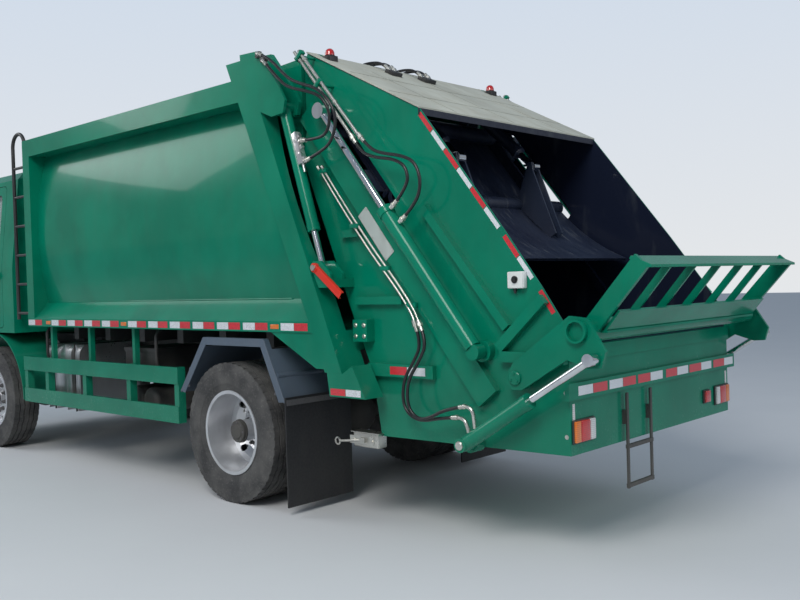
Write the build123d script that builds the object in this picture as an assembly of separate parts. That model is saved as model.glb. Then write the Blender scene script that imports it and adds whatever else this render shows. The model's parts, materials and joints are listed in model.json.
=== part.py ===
"""Rear-loading refuse truck: two axles, tilt cab, curved container, lifting tailgate with packer and bin lifter.

Frame: +X towards the cab, +Y to the truck's left, +Z up, origin on the ground at the middle of its box.
Every size is in millimetres.  Outlines in the side view are (x, z) points.
"""
from build123d import *
import os
from math import atan2, ceil, cos, degrees, hypot, radians, sin, tan

os.makedirs("parts", exist_ok=True)

# Whole vehicle
FRONT_END = 4200          # front face of the bumper
REAR_END = -4200          # rear edge of the bin lifter's bar
HALF_WIDTH = 1220         # over the container's rails, the side guards and the tyres
REAR_AXLE_X = -1000
WHEELBASE = 4000
FRONT_AXLE_X = REAR_AXLE_X + WHEELBASE
GAP = 0.3                 # running gap between pieces that only touch

# Tyres and rims, 22.5 inch wheels
TYRE_R = 506
TYRE_W = 275
RIM_FLANGE_R = 304
RIM_SEAT_R = 290
BEAD_HALF = TYRE_W * 0.39
RIM_WALL = 10
RIM_HALF = BEAD_HALF + RIM_WALL + GAP
TWIN_SPACING = 325
FRONT_TRACK_Y = HALF_WIDTH - TYRE_W / 2 - 4
REAR_OUTER_Y = HALF_WIDTH - TYRE_W / 2 - 2
REAR_INNER_Y = REAR_OUTER_Y - TWIN_SPACING

# Chassis frame
RAIL_Y = 430              # outer face of each main rail
RAIL_Z0 = 760
RAIL_Z1 = 1000
RAIL_FLANGE = 75
RAIL_WALL = 10
RAIL_REAR = -2140
RAIL_FRONT = 4020
SUBFRAME_Z = 1120         # top of the subframe, under the container's bearers
FLOOR_Z = 1240            # underside of the container's floor
BEARER_Y = 1050           # half length of the bearers

# Container
BODY_FRONT = 2100         # front face of the front frame plate
FRAME_PLATE = 130         # length of that plate along the truck
LOWER_RAIL_Z = 1313       # top of the lower side rail
LEDGE_Z = 1460            # where the sloped ledge meets the shell
TOP_RAIL_Z0 = 2830
TOP_RAIL_Z1 = 2987
SHELL_BOTTOM_Y = 1080     # half width of the barrelled shell at the ledge
SHELL_MID_Y = 1155
SHELL_MID_Z = 2100
SHELL_TOP_Y = 1075
SHELL_TOP_Z = 2760
SHELL_ROOF_Z = 2940
SHELL_WALL = 10
POST_Y0 = 1000            # inner and outer face of the slanted rear posts
POST_TOP_Z = 3110
LEAN = 0.4135             # how far the rear plane moves forward for each unit up
REAR_TOP_X = -1330        # rear plane at POST_TOP_Z

# Tailgate
TAIL_Y = 1000             # outer face of its side plates
TAIL_WALL = 12
HINGE = (-1720, 3080)
RAIL_ANGLE = 51.5         # slope of the packer's slide
LIFTED = 80               # how far the tailgate opens, in degrees
TROUGH_R = 760
LIP_X = -3740
LIP_Z = 1180
TAIL_REAR_X = -3724
TAIL_BOTTOM_Z = 600

# Packer
PIVOT_UP = (-2430, 2090)  # blade pivot with the carriage raised
SLIDE_TRAVEL = 800
BLADE_LENGTH = 720
BLADE_OPEN = 215          # blade direction in the side view, degrees from +X towards +Z
BLADE_SWING = 70
LEVER = 300               # from the blade's pivot to its cylinder's eye
LEVER_OPEN = 115
BLADE_Y = 975

# Bin lifter
LIFT_PIVOT = (-3430, 1010)
LIFTER_SWING_DOWN = 60
LIFTER_SWING_UP = 8
TUBE_AT = (-3830, 1270)
TUBE_R = 62
BAR_Z = 1650
LIFTER_Y = 980

# Cab
CAB_BACK = 2500
CAB_FRONT = 4170
CAB_HALF = 1180
CAB_FLOOR_Z = 1165
CAB_ROOF_Z = 2760
CAB_WALL = 45
CAB_PIVOT = (4080, 900)
CAB_HINGE_Y = 380
KINGPIN_Y = 860


def block(x0, x1, y0, y1, z0, z1):
    """A plain block between two corners."""
    return Pos((x0 + x1) / 2, (y0 + y1) / 2, (z0 + z1) / 2) * Box(x1 - x0, y1 - y0, z1 - z0)


def polygon(points):
    return make_face(Polyline(*points, close=True))


def side_slab(face, y0, y1):
    """A face drawn in the side view as (x, z), made solid from y0 to y1."""
    return extrude(Pos(0, y0, 0) * (Plane.XZ * face), amount=y1 - y0, dir=(0, 1, 0))


def cross_slab(face, x0, x1):
    """A face drawn in the front view as (y, z), made solid from x0 to x1."""
    return extrude(Pos(x0, 0, 0) * (Plane.YZ * face), amount=x1 - x0, dir=(1, 0, 0))


def plan_slab(face, z0, z1):
    """A face drawn from above as (x, y), made solid from z0 to z1."""
    return extrude(Pos(0, 0, z0) * face, amount=z1 - z0, dir=(0, 0, 1))


def cross_rod(at, radius, y0, y1, bore=0):
    """A round bar or tube that runs across the truck through the side view's point at."""
    face = Pos(at[0], at[1]) * Circle(radius)
    if bore:
        face -= Pos(at[0], at[1]) * Circle(bore)
    return side_slab(face, y0, y1)


def rod(start, end, radius, bore=0):
    """A round bar or tube between two points in space."""
    run = Vector(*end) - Vector(*start)
    face = Circle(radius)
    if bore:
        face -= Circle(bore)
    return extrude(Plane(origin=start, z_dir=run) * face, amount=run.length)


def side_rod(start, end, y, radius, bore=0):
    """A round bar or tube in the side view from start to end at one y."""
    return rod((start[0], y, start[1]), (end[0], y, end[1]), radius, bore)


def strip(start, end, width, shift=0):
    """A straight strip in the side view, its middle line from start to end, moved sideways by shift."""
    dx, dz = end[0] - start[0], end[1] - start[1]
    length = hypot(dx, dz)
    nx, nz = -dz / length, dx / length
    low, high = shift - width / 2, shift + width / 2
    return polygon([
        (start[0] + nx * low, start[1] + nz * low), (end[0] + nx * low, end[1] + nz * low),
        (end[0] + nx * high, end[1] + nz * high), (start[0] + nx * high, start[1] + nz * high)])


def along(start, angle, distance, offset=0):
    """The side view's point at a distance along a direction, and offset to its left."""
    a = radians(angle)
    return (start[0] + distance * cos(a) - offset * sin(a), start[1] + distance * sin(a) + offset * cos(a))


def turned(point, pivot, angle):
    """A side-view point after the rear of the truck is raised by an angle about a pivot."""
    a = radians(angle)
    dx, dz = point[0] - pivot[0], point[1] - pivot[1]
    return (pivot[0] + dx * cos(a) + dz * sin(a), pivot[1] - dx * sin(a) + dz * cos(a))


def both(*pieces):
    """The pieces and their mirror images on the truck's other side."""
    return list(pieces) + [mirror(piece, about=Plane.XZ) for piece in pieces]


def solids_of(pieces):
    found = []
    for piece in pieces:
        found += solids_of(piece) if isinstance(piece, (list, tuple)) else list(piece.solids())
    return found


def fused(*pieces):
    """Pieces joined into one, as welded parts are."""
    parts = solids_of(pieces)
    return Part() + parts


def save(node, *pieces):
    """Write a node's solids to its STEP file."""
    export_step(Compound(solids_of(pieces)), f"parts/{node}.step")


def rear_plane_x(z):
    """The x of the container's slanted rear plane at a height."""
    return REAR_TOP_X - LEAN * (POST_TOP_Z - z)


# Chassis frame: two channel rails, cross members, the subframe and the bearers under the floor
def channel_rail():
    outline = polygon([
        (RAIL_Y, RAIL_Z0), (RAIL_Y, RAIL_Z1), (RAIL_Y - RAIL_FLANGE, RAIL_Z1),
        (RAIL_Y - RAIL_FLANGE, RAIL_Z1 - RAIL_WALL), (RAIL_Y - RAIL_WALL, RAIL_Z1 - RAIL_WALL),
        (RAIL_Y - RAIL_WALL, RAIL_Z0 + RAIL_WALL), (RAIL_Y - RAIL_FLANGE, RAIL_Z0 + RAIL_WALL),
        (RAIL_Y - RAIL_FLANGE, RAIL_Z0)])
    return cross_slab(outline, RAIL_REAR, RAIL_FRONT)


def frame_rails():
    cross = [block(x, x + 90, -RAIL_Y + RAIL_WALL, RAIL_Y - RAIL_WALL, RAIL_Z0 + 40, RAIL_Z1 - 40)
             for x in (RAIL_REAR, REAR_AXLE_X - 300, REAR_AXLE_X + 300, 400, 1600, RAIL_FRONT - 90)]
    sub = block(RAIL_REAR, BODY_FRONT - 60, RAIL_Y - 80, RAIL_Y, RAIL_Z1, SUBFRAME_Z)
    bearers = [block(x, x + 80, -BEARER_Y, BEARER_Y, SUBFRAME_Z, FLOOR_Z)
               for x in range(-1900, BODY_FRONT - 100, 560)]
    return fused(both(channel_rail()), cross, both(sub), bearers)


SPRING_Y = 520            # middle of each leaf spring
SPRING_W = 80


def leaf_spring(axle_x, axle_top, half_length, leaves, eye_z):
    """A pack of curved leaves that lies on an axle, its main leaf ending in two eyes."""
    pack = []
    for leaf in range(leaves):
        half = half_length * (1 - leaf / leaves * 0.75)
        rise = (eye_z - axle_top - 20) * (half / half_length) ** 2
        z = axle_top + 12 * (leaves - leaf)
        arc = ThreePointArc((axle_x - half, z + rise), (axle_x, z), (axle_x + half, z + rise))
        top = ThreePointArc((axle_x + half, z + rise + 11.5), (axle_x, z + 11.5), (axle_x - half, z + rise + 11.5))
        edges = [arc, Line(arc @ 1, top @ 0), top, Line(top @ 1, arc @ 0)]
        pack.append(side_slab(make_face(edges), SPRING_Y - SPRING_W / 2, SPRING_Y + SPRING_W / 2))
    clamp = block(axle_x - 70, axle_x + 70, SPRING_Y - 55, SPRING_Y + 55, axle_top - GAP, axle_top + 12 * leaves + 22)
    eyes = [cross_rod((axle_x + s * half_length, axle_top + 12 * leaves + eye_z - axle_top), 26,
                      RAIL_Y + GAP, SPRING_Y + SPRING_W / 2) for s in (-1, 1)]
    return fused(pack, clamp, eyes)


def leaf_springs():
    front = leaf_spring(FRONT_AXLE_X, FRONT_AXLE_Z + 50, 620, 4, RAIL_Z0 - 60)
    rear = leaf_spring(REAR_AXLE_X, TYRE_R + 85, 680, 7, RAIL_Z0 + 20)
    return both(front, rear)


FRONT_AXLE_Z = 470
BEAM_END_Y = KINGPIN_Y - 75


def front_axle():
    """A dropped beam with a kingpin boss at each end."""
    outline = [(-BEAM_END_Y, FRONT_AXLE_Z + 60), (-BEAM_END_Y + 110, FRONT_AXLE_Z - 20),
               (BEAM_END_Y - 110, FRONT_AXLE_Z - 20), (BEAM_END_Y, FRONT_AXLE_Z + 60),
               (BEAM_END_Y, FRONT_AXLE_Z - 60), (BEAM_END_Y - 110, FRONT_AXLE_Z - 110),
               (-BEAM_END_Y + 110, FRONT_AXLE_Z - 110), (-BEAM_END_Y, FRONT_AXLE_Z - 60)]
    beam = cross_slab(polygon(outline), FRONT_AXLE_X - 45, FRONT_AXLE_X + 45)
    seat = block(FRONT_AXLE_X - 70, FRONT_AXLE_X + 70, SPRING_Y - 50, SPRING_Y + 50,
                 FRONT_AXLE_Z - 30, FRONT_AXLE_Z + 49)
    boss = rod((FRONT_AXLE_X, KINGPIN_Y, FRONT_AXLE_Z - 60), (FRONT_AXLE_X, KINGPIN_Y, FRONT_AXLE_Z + 60), 46)
    neck = block(FRONT_AXLE_X - 40, FRONT_AXLE_X + 40, BEAM_END_Y - 10, KINGPIN_Y, FRONT_AXLE_Z - 55, FRONT_AXLE_Z + 55)
    return fused(beam, both(seat), both(boss), both(neck))


def knuckle(side):
    """The forked knuckle on the kingpin, with its stub axle."""
    y = KINGPIN_Y
    levels = (FRONT_AXLE_Z - 60 - GAP - 38, FRONT_AXLE_Z + 60 + GAP)
    ears = [rod((FRONT_AXLE_X, y, z), (FRONT_AXLE_X, y, z + 38), 46) for z in levels]
    web = block(FRONT_AXLE_X - 46, FRONT_AXLE_X + 46, y + 50, y + 84, FRONT_AXLE_Z - 100, FRONT_AXLE_Z + 100)
    links = [block(FRONT_AXLE_X - 40, FRONT_AXLE_X + 40, y, y + 60, z, z + 38) for z in levels]
    stub = rod((FRONT_AXLE_X, y + 80, TYRE_R), (FRONT_AXLE_X, FRONT_TRACK_Y + 60, TYRE_R), STUB_R)
    arm = block(FRONT_AXLE_X - 210, FRONT_AXLE_X - 20, y - 20, y + 20, levels[0] - 35, levels[0] + 1)
    whole = fused(ears, web, links, stub, arm)
    return whole if side > 0 else mirror(whole, about=Plane.XZ)


STUB_R = 38


def rear_axle():
    """The drive axle: a housing with its differential, and the tubes that run into the hubs."""
    y_end = REAR_OUTER_Y + 20
    tube = rod((REAR_AXLE_X, -REAR_INNER_Y + 165, TYRE_R), (REAR_AXLE_X, REAR_INNER_Y - 165, TYRE_R), 78)
    spindle = rod((REAR_AXLE_X, -y_end, TYRE_R), (REAR_AXLE_X, y_end, TYRE_R), STUB_R)
    bowl = Pos(REAR_AXLE_X, 0, TYRE_R) * Sphere(205)
    nose = rod((REAR_AXLE_X + 120, 0, TYRE_R), (REAR_AXLE_X + 420, 0, TYRE_R + 40), 80)
    seat = block(REAR_AXLE_X - 70, REAR_AXLE_X + 70, SPRING_Y - 50, SPRING_Y + 50, TYRE_R - 60, TYRE_R + 84)
    return fused(tube, spindle, bowl, nose, both(seat))


# Wheels
def tyre(y):
    """A revolved tyre: tread band, rounded shoulders, bulging walls and beads."""
    half = TYRE_W / 2
    inner = RIM_SEAT_R + GAP
    with BuildSketch(Plane.XY) as profile:
        with BuildLine():
            Polyline((-BEAD_HALF, inner), (-BEAD_HALF, inner + 20), (-half * 0.98, inner + 60))
            ThreePointArc((-half * 0.98, inner + 60), (-half, inner + 100), (-half * 0.97, TYRE_R - 45))
            Polyline((-half * 0.97, TYRE_R - 45), (-half * 0.86, TYRE_R - 6), (-half * 0.3, TYRE_R),
                     (half * 0.3, TYRE_R), (half * 0.86, TYRE_R - 6), (half * 0.97, TYRE_R - 45))
            ThreePointArc((half * 0.97, TYRE_R - 45), (half, inner + 100), (half * 0.98, inner + 60))
            Polyline((half * 0.98, inner + 60), (BEAD_HALF, inner + 20), (BEAD_HALF, inner), (-BEAD_HALF, inner))
        make_face()
    ring = revolve(profile.sketch, axis=Axis.X)
    return Rot(0, 0, 90) * ring if y == 0 else Pos(0, y, 0) * (Rot(0, 0, 90) * ring)


def at_wheel(piece, axle_x, side):
    """Move a wheel piece, modelled at the left with its axle on Y, to its place."""
    placed = Pos(axle_x, 0, TYRE_R) * piece
    return placed if side > 0 else mirror(placed, about=Plane.XZ)


HAND_HOLES = 8


def disc_rim(y, dish):
    """A rim barrel with its disc; dish moves the disc outwards (positive) or inwards from the middle."""
    half, wall = RIM_HALF, RIM_WALL
    barrel = [(-half, RIM_SEAT_R - wall), (-half, RIM_FLANGE_R), (wall - half, RIM_FLANGE_R),
              (wall - half, RIM_SEAT_R), (half - wall, RIM_SEAT_R), (half - wall, RIM_FLANGE_R),
              (half, RIM_FLANGE_R), (half, RIM_SEAT_R - wall)]
    step = 50 if dish > 0 else -50
    disc = [(dish, 88), (dish, 190), (dish - step * 0.85, 235), (dish - step, RIM_SEAT_R - wall + 1),
            (dish - step - wall, RIM_SEAT_R - wall + 1), (dish - step * 0.85 - wall, 230), (dish - wall, 186),
            (dish - wall, 88)]
    body = revolve(polygon(barrel), axis=Axis.X) + revolve(polygon(disc), axis=Axis.X)
    for hole in range(HAND_HOLES):
        cutter = Rot(360 * hole / HAND_HOLES, 0, 0) * Pos(dish - step * 0.85, 0, 228) * Rot(0, 90, 0) * Cylinder(26, 90)
        body -= cutter
    return Pos(0, y, 0) * (Rot(0, 0, 90) * body)


def hub(y0, y1, radius, nose_radius, nose_end):
    """A hub drum from y0 to y1 with a smaller nose to nose_end, bored for the stub."""
    drum = rod((0, y0, 0), (0, y1, 0), radius, STUB_R + GAP)
    nose = rod((0, y1 - 1, 0), (0, nose_end, 0), nose_radius, STUB_R + GAP)
    cap = rod((0, nose_end - 1, 0), (0, nose_end + 16, 0), nose_radius)
    return drum + nose + cap


def front_wheel_rim():
    disc = disc_rim(FRONT_TRACK_Y, 60)
    return fused(disc, hub(FRONT_TRACK_Y - 70, FRONT_TRACK_Y + 70, 95, 72, FRONT_TRACK_Y + 95))


def rear_wheel_rims():
    outer = disc_rim(REAR_OUTER_Y, 10 - TWIN_SPACING / 2)
    inner = disc_rim(REAR_INNER_Y, TWIN_SPACING / 2)
    face = (REAR_OUTER_Y + REAR_INNER_Y) / 2
    return fused(outer, inner, hub(REAR_INNER_Y - 120, face + 60, 96, 78, REAR_OUTER_Y + 40),
                 rod((0, REAR_INNER_Y - 100, 0), (0, REAR_INNER_Y + 40, 0), 200, STUB_R + GAP))


# Container
def shell_outline(inset=0):
    """The barrelled cross-section of the container, both halves, shrunk all round by inset."""
    top_y, roof_z = SHELL_TOP_Y, SHELL_ROOF_Z
    right = [
        Line((SHELL_BOTTOM_Y, FLOOR_Z), (SHELL_BOTTOM_Y, LEDGE_Z)),
        ThreePointArc((SHELL_BOTTOM_Y, LEDGE_Z), (SHELL_MID_Y, SHELL_MID_Z), (top_y, SHELL_TOP_Z)),
        ThreePointArc((top_y, SHELL_TOP_Z), (top_y - 62, SHELL_TOP_Z + 118), (top_y - 200, roof_z)),
    ]
    roof = ThreePointArc((top_y - 200, roof_z), (0, roof_z + 25), (200 - top_y, roof_z))
    left = [mirror(edge, about=Plane.YZ) for edge in right]
    floor = Line((-SHELL_BOTTOM_Y, FLOOR_Z), (SHELL_BOTTOM_Y, FLOOR_Z))
    face = make_face(right + [roof] + left + [floor])
    return offset(face, amount=-inset, kind=Kind.INTERSECTION) if inset else face


def behind_rear_plane(shift=0):
    """A big block behind the container's slanted rear plane, moved back by shift."""
    low, high = 500, 3500
    return side_slab(polygon([
        (rear_plane_x(low) - shift, low), (rear_plane_x(high) - shift, high),
        (REAR_END - 500, high), (REAR_END - 500, low)]), -HALF_WIDTH - 50, HALF_WIDTH + 50)


def container_core():
    return cross_slab(shell_outline(), rear_plane_x(FLOOR_Z) - 100, BODY_FRONT) - behind_rear_plane()


def container_shell(core):
    hollow = cross_slab(shell_outline(SHELL_WALL), rear_plane_x(FLOOR_Z) - 200, BODY_FRONT - FRAME_PLATE)
    return core - hollow - block(BODY_FRONT - FRAME_PLATE + SHELL_WALL, BODY_FRONT + 10, -1400, 1400, 900, 3200)


LIFT_Y = 1150             # middle of the tailgate's lift cylinders
LIFT_TOP = (-1655, 2740)
LIFT_EYE = (-1990, 1660)
HINGE_LUG_Y = 900


def container_frame(core):
    """Front plate, side rails with their ledge, top rails, slanted posts and the lugs of the tailgate."""
    front = cross_slab(polygon([
        (-HALF_WIDTH, FLOOR_Z), (HALF_WIDTH, FLOOR_Z), (HALF_WIDTH, TOP_RAIL_Z1), (-HALF_WIDTH, TOP_RAIL_Z1)]),
        BODY_FRONT - FRAME_PLATE, BODY_FRONT)
    ledge = cross_slab(polygon([
        (SHELL_BOTTOM_Y - 60, FLOOR_Z), (HALF_WIDTH, FLOOR_Z), (HALF_WIDTH, LOWER_RAIL_Z),
        (SHELL_BOTTOM_Y, LEDGE_Z), (SHELL_BOTTOM_Y - 60, LEDGE_Z)]), -2000, BODY_FRONT - FRAME_PLATE)
    top_rail = cross_slab(polygon([
        (HALF_WIDTH, TOP_RAIL_Z0), (HALF_WIDTH, TOP_RAIL_Z1), (SHELL_TOP_Y - 160, TOP_RAIL_Z1),
        (SHELL_TOP_Y - 160, TOP_RAIL_Z0)]), -1250, BODY_FRONT - FRAME_PLATE)
    post = side_slab(polygon([
        (-1120, POST_TOP_Z), (REAR_TOP_X, POST_TOP_Z), (rear_plane_x(990), 990), (-2050, 990)]), POST_Y0, HALF_WIDTH)
    gusset = side_slab(polygon([(-1510, FLOOR_Z), (-1990, FLOOR_Z), (-2040, 1010), (-1960, 1010)]), 1060, HALF_WIDTH - 8)
    header = side_slab(polygon([
        (-1120, POST_TOP_Z), (REAR_TOP_X, POST_TOP_Z), (rear_plane_x(2920), 2920), (-1200, 2920)]), -POST_Y0, POST_Y0)
    sill = side_slab(polygon([
        (-1980, FLOOR_Z), (rear_plane_x(FLOOR_Z), FLOOR_Z), (rear_plane_x(SUBFRAME_Z), SUBFRAME_Z),
        (-1980, SUBFRAME_Z)]), -POST_Y0, POST_Y0)
    cheek = side_slab(polygon([
        (rear_plane_x(3050) + 30, 3050), (-1650, 3050), (-1650, 2440), (rear_plane_x(2440) + 30, 2440)]), 955, 985)
    cap = block(-1650, rear_plane_x(3050) + 30, -985, 985, 3040, 3050)
    lug_outline = polygon([
        (-1280, 3150), (-1470, 3140), (-1680, 2880), (-1745, 2770), (-1720, 2690), (-1600, 2680), (-1460, 2740),
        (-1300, 2980)])
    lugs = [side_slab(lug_outline, HALF_WIDTH - 20, HALF_WIDTH), side_slab(lug_outline, 1070, 1098)]
    hinge_lug = fused(
        side_slab(polygon([(-1300, 3105), (-1300, 2960), (-1720, 3035), (-1720, 3125)]),
                  HINGE_LUG_Y - 22, HINGE_LUG_Y + 22),
        cross_rod(HINGE, 45, HINGE_LUG_Y - 22, HINGE_LUG_Y + 22))
    hinge_lug -= cross_rod(HINGE, 25 + GAP, HINGE_LUG_Y - 40, HINGE_LUG_Y + 40)
    pockets = solids_of(both(*marker_lamps(GAP)))
    front_ring = front - core
    rails = [(piece - core - front_ring) - pockets for piece in both(ledge, top_rail)]
    portal = fused(both(post, gusset, cheek), both(*lugs), header, sill, cap, both(hinge_lug)) - core
    return front_ring, [piece - portal for piece in rails], portal


def body_end_caps():
    """The small boxes under the posts that carry the end markers."""
    cap = side_slab(polygon([(-2070, 990 - GAP), (-2215, 990 - GAP), (-2300, 1040), (-2410, 840), (-2090, 840)]), 1060, HALF_WIDTH)
    return both(cap)


LADDER_X = (2165, 2415)
LADDER_Y = 1165
LADDER_RUNGS = 6


def access_ladder():
    """A side ladder between cab and container, with its hoop on top."""
    z0, z1 = 1300, 2960
    stiles = [rod((x, LADDER_Y, z0), (x, LADDER_Y, z1), 17) for x in LADDER_X]
    step = (z1 - z0 - 260) / (LADDER_RUNGS - 1)
    rungs = [rod((LADDER_X[0], LADDER_Y, z0 + 60 + n * step), (LADDER_X[1], LADDER_Y, z0 + 60 + n * step), 13)
             for n in range(LADDER_RUNGS)]
    arc = ThreePointArc((LADDER_X[0], z1), ((LADDER_X[0] + LADDER_X[1]) / 2, z1 + 125), (LADDER_X[1], z1))
    path = Plane.XZ * arc
    hoop = sweep(Plane(origin=path @ 0, z_dir=path % 0) * Circle(17), path=path)
    hoop = Pos(0, LADDER_Y, 0) * hoop
    brackets = [block(BODY_FRONT, LADDER_X[0], LADDER_Y - 15, LADDER_Y + 15, z, z + 30) for z in (1420, 2200, 2840)]
    return fused(stiles, rungs, hoop, brackets)


def marker_lamps(margin=0):
    """Amber lamps let into the lower rail, or with a margin the pockets that they sit in."""
    z = (FLOOR_Z + LOWER_RAIL_Z) / 2
    depth = LAMP_DEPTH + margin
    return [Pos(x, HALF_WIDTH - depth / 2, z) * Box(LAMP_LONG + 2 * margin, depth, LAMP_HIGH + 2 * margin)
            for x in (-1560, 380, 1700)]


LAMP_LONG = 90
LAMP_HIGH = 34
LAMP_DEPTH = 8


def ejector_panel():
    """The leaning pusher plate with its braced frame and the shoes on the floor."""
    floor = FLOOR_Z + SHELL_WALL + GAP
    face_x = [rear_plane_x(z) + 30 + EJECTOR_TRAVEL for z in (floor + 20, 2700)]
    panel = side_slab(polygon([
        (face_x[0], floor + 20), (face_x[1], 2700), (face_x[1] + 40, 2700), (face_x[0] + 40, floor + 20)]), -1045, 1045)
    runner = block(face_x[0] + 20, 1880, 700, 780, floor, floor + 70)
    brace = side_slab(strip((1840, floor + 50), (face_x[1] + 20, 2500), 70), 715, 765)
    ribs = side_slab(strip((1300, floor + 50), (face_x[0] + 300, 1950), 60), 715, 765)
    cross = [block(x, x + 60, -760, 760, floor + 6, floor + 66) for x in (1300, 1820)]
    return fused(panel, both(runner, brace, ribs), cross)


EJECTOR_TRAVEL = 2900


# Side equipment
def side_guards():
    """Two rails and their posts on each side, between the axles."""
    x0, x1 = -380, 2230
    rails = []
    for z in (520, 820):
        outline = polygon([
            (HALF_WIDTH, z), (HALF_WIDTH, z + 130), (HALF_WIDTH - 32, z + 130), (HALF_WIDTH - 32, z + 122),
            (HALF_WIDTH - 8, z + 122), (HALF_WIDTH - 8, z + 8), (HALF_WIDTH - 32, z + 8), (HALF_WIDTH - 32, z)])
        rails.append(cross_slab(outline, x0, x1))
    posts = [block(x, x + 60, HALF_WIDTH - 70, HALF_WIDTH - 8.5, 520, 950) for x in (x0, 320, 1050, 1750, x1 - 60)]
    hangers = [block(x, x + 40, HALF_WIDTH - 112, HALF_WIDTH - 69, 830, FLOOR_Z - GAP) for x in (330, 1060, 1760)]
    return both(fused(rails, posts, hangers))


def rear_mudguards():
    """Angular sheet guards over the twin wheels, with an outer flange."""
    line = [(-420, 780), (-730, 1190), (-1430, 1190), (-1640, 770)]
    inner = [(-425, 765), (-738, 1178), (-1422, 1178), (-1630, 765)]
    sheet = side_slab(polygon(line + inner[::-1]), RAIL_Y + 145, HALF_WIDTH)
    rim = [(-475, 765), (-760, 1135), (-1402, 1135), (-1580, 765)]
    flange = side_slab(polygon(line + rim[::-1]), HALF_WIDTH - 8, HALF_WIDTH)
    sheet -= block(-1500, -600, 0, HALF_WIDTH - 50, SUBFRAME_Z - 2, FLOOR_Z)
    stay = [rod((x, RAIL_Y, 940), (x, HALF_WIDTH - 20, 940), 20) for x in (-530, -1545)]
    return both(fused(sheet, flange, stay))


def mud_flaps():
    flap = block(-1652, -1640 - GAP, RAIL_Y + 190, HALF_WIDTH, 60, 800)
    return both(flap)


def fuel_tank():
    """An aluminium tank with rounded edges, on the left, in two straps."""
    body = Pos(1700, 790, 765) * Box(630, 600, 600)
    body = fillet(body.edges().filter_by(Axis.X), 90)
    straps = []
    for x in (1500, 1900):
        band = Pos(x, 790, 765) * Box(50, 612, 612)
        band = fillet(band.edges().filter_by(Axis.X), 96)
        straps.append(band - body)
    neck = rod((1960, 1010, 1020), (1960, 1060, 1090), 45)
    return fused(body, straps, neck, block(1480, 1520, RAIL_Y, 520, 800, 980), block(1880, 1920, RAIL_Y, 520, 800, 980))


def air_tanks():
    """Two brake air tanks that lie across the truck on the left."""
    tanks = []
    for x in (240, 480):
        tank = rod((x, 560, 640), (x, 1090, 640), 108)
        tank = fillet(tank.edges().filter_by(GeomType.CIRCLE), 45)
        tanks.append(tank)
    hanger = block(200, 520, RAIL_Y, 600, 745, 790)
    return fused(tanks, hanger)


def battery_box():
    box = block(110, 590, 560, 1085, 835, 1065)
    lid = block(102, 598, 552, 1093, 1040, 1072)
    foot = block(180, 520, RAIL_Y, 562, 860, 960)
    return fused(box, lid, foot)


def silencer():
    """The exhaust box and its pipe, on the right."""
    box = Pos(1750, -770, 740) * Box(620, 520, 480)
    box = fillet(box.edges().filter_by(Axis.Y), 110)
    pipe = rod((1445, -850, 650), (1250, -850, 650), 48)
    hold = block(1500, 2000, -520, -RAIL_Y, 800, 900)
    return fused(box, pipe, hold)


def oil_tank():
    """The tank of the hydraulic oil, on the right."""
    box = block(150, 750, -1080, -560, 700, 1080)
    box = fillet(box.edges().filter_by(Axis.Z), 60)
    neck = rod((300, -900, 1078), (300, -900, 1105), 50)
    foot = block(250, 650, -565, -RAIL_Y, 800, 960)
    return fused(box, neck, foot)


def engine_block():
    """The engine as one block on its two mounts."""
    body = block(2420, 3480, -300, 300, 640, 1095)
    feet = [block(x, x + 90, 299, RAIL_Y - RAIL_WALL - GAP, 820, 880) for x in (2560, 3240)]
    return fused(body, both(*feet))


def gearbox():
    """The gearbox behind the engine and the shaft to the rear axle."""
    box = block(1950, 2420, -190, 190, 720, 1060)
    shaft = rod((REAR_AXLE_X + 424, 0, TYRE_R + 40), (1951, 0, 765), 45)
    return fused(box, shaft)


def front_bumper():
    """Bumper with lamp pockets, its brackets and the towing jaw in the middle."""
    outline = [(4060, 480), (4180, 480), (FRONT_END, 540), (FRONT_END, 820), (4170, 850), (4060, 850)]
    bar = side_slab(polygon(outline), -CAB_HALF, CAB_HALF)
    bar -= side_slab(polygon([(4040, 500), (4160, 500), (4160, 830), (4040, 830)]), -CAB_HALF + 20, CAB_HALF - 20)
    for s in (-1, 1):
        bar -= Pos(FRONT_END, s * LAMP_Y, LAMP_Z) * Box(120, LAMP_SIZE[0], LAMP_SIZE[1])
        bar -= Pos(4090, s * CAB_HINGE_Y, 840) * Box(90, 110, 40)
    bar -= Pos(FRONT_END, 0, 640) * Box(120, 260, 150)
    bar -= Pos(TOW_PIN_X, 0, 490) * Box(120, 140, 80)
    bracket = block(RAIL_FRONT - 120, 4161, RAIL_Y + GAP, RAIL_Y + 50, 780, 830)
    return fused(bar, both(bracket))


def towing_jaw():
    """Two ears with one upright hole, on a plate at the front cross member."""
    ears = [block(RAIL_FRONT + 19, 4190, -60, 60, z, z + 25) for z in (590, 665)]
    plate = block(RAIL_FRONT + GAP, RAIL_FRONT + 20, -60, 60, 560, RAIL_Z1 - 40)
    jaw = fused(ears, plate)
    jaw -= rod((TOW_PIN_X, 0, 500), (TOW_PIN_X, 0, 760), TOW_PIN_R)
    return jaw


TOW_PIN_X = 4140
TOW_PIN_R = 17


LAMP_Y = 900
LAMP_Z = 680
LAMP_SIZE = (330, 150)


def headlamps():
    """Lamp units that fill the pockets of the bumper."""
    return both(Pos(4171, LAMP_Y, LAMP_Z) * Box(40, LAMP_SIZE[0] - 2 * GAP, LAMP_SIZE[1] - 2 * GAP))


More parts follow.
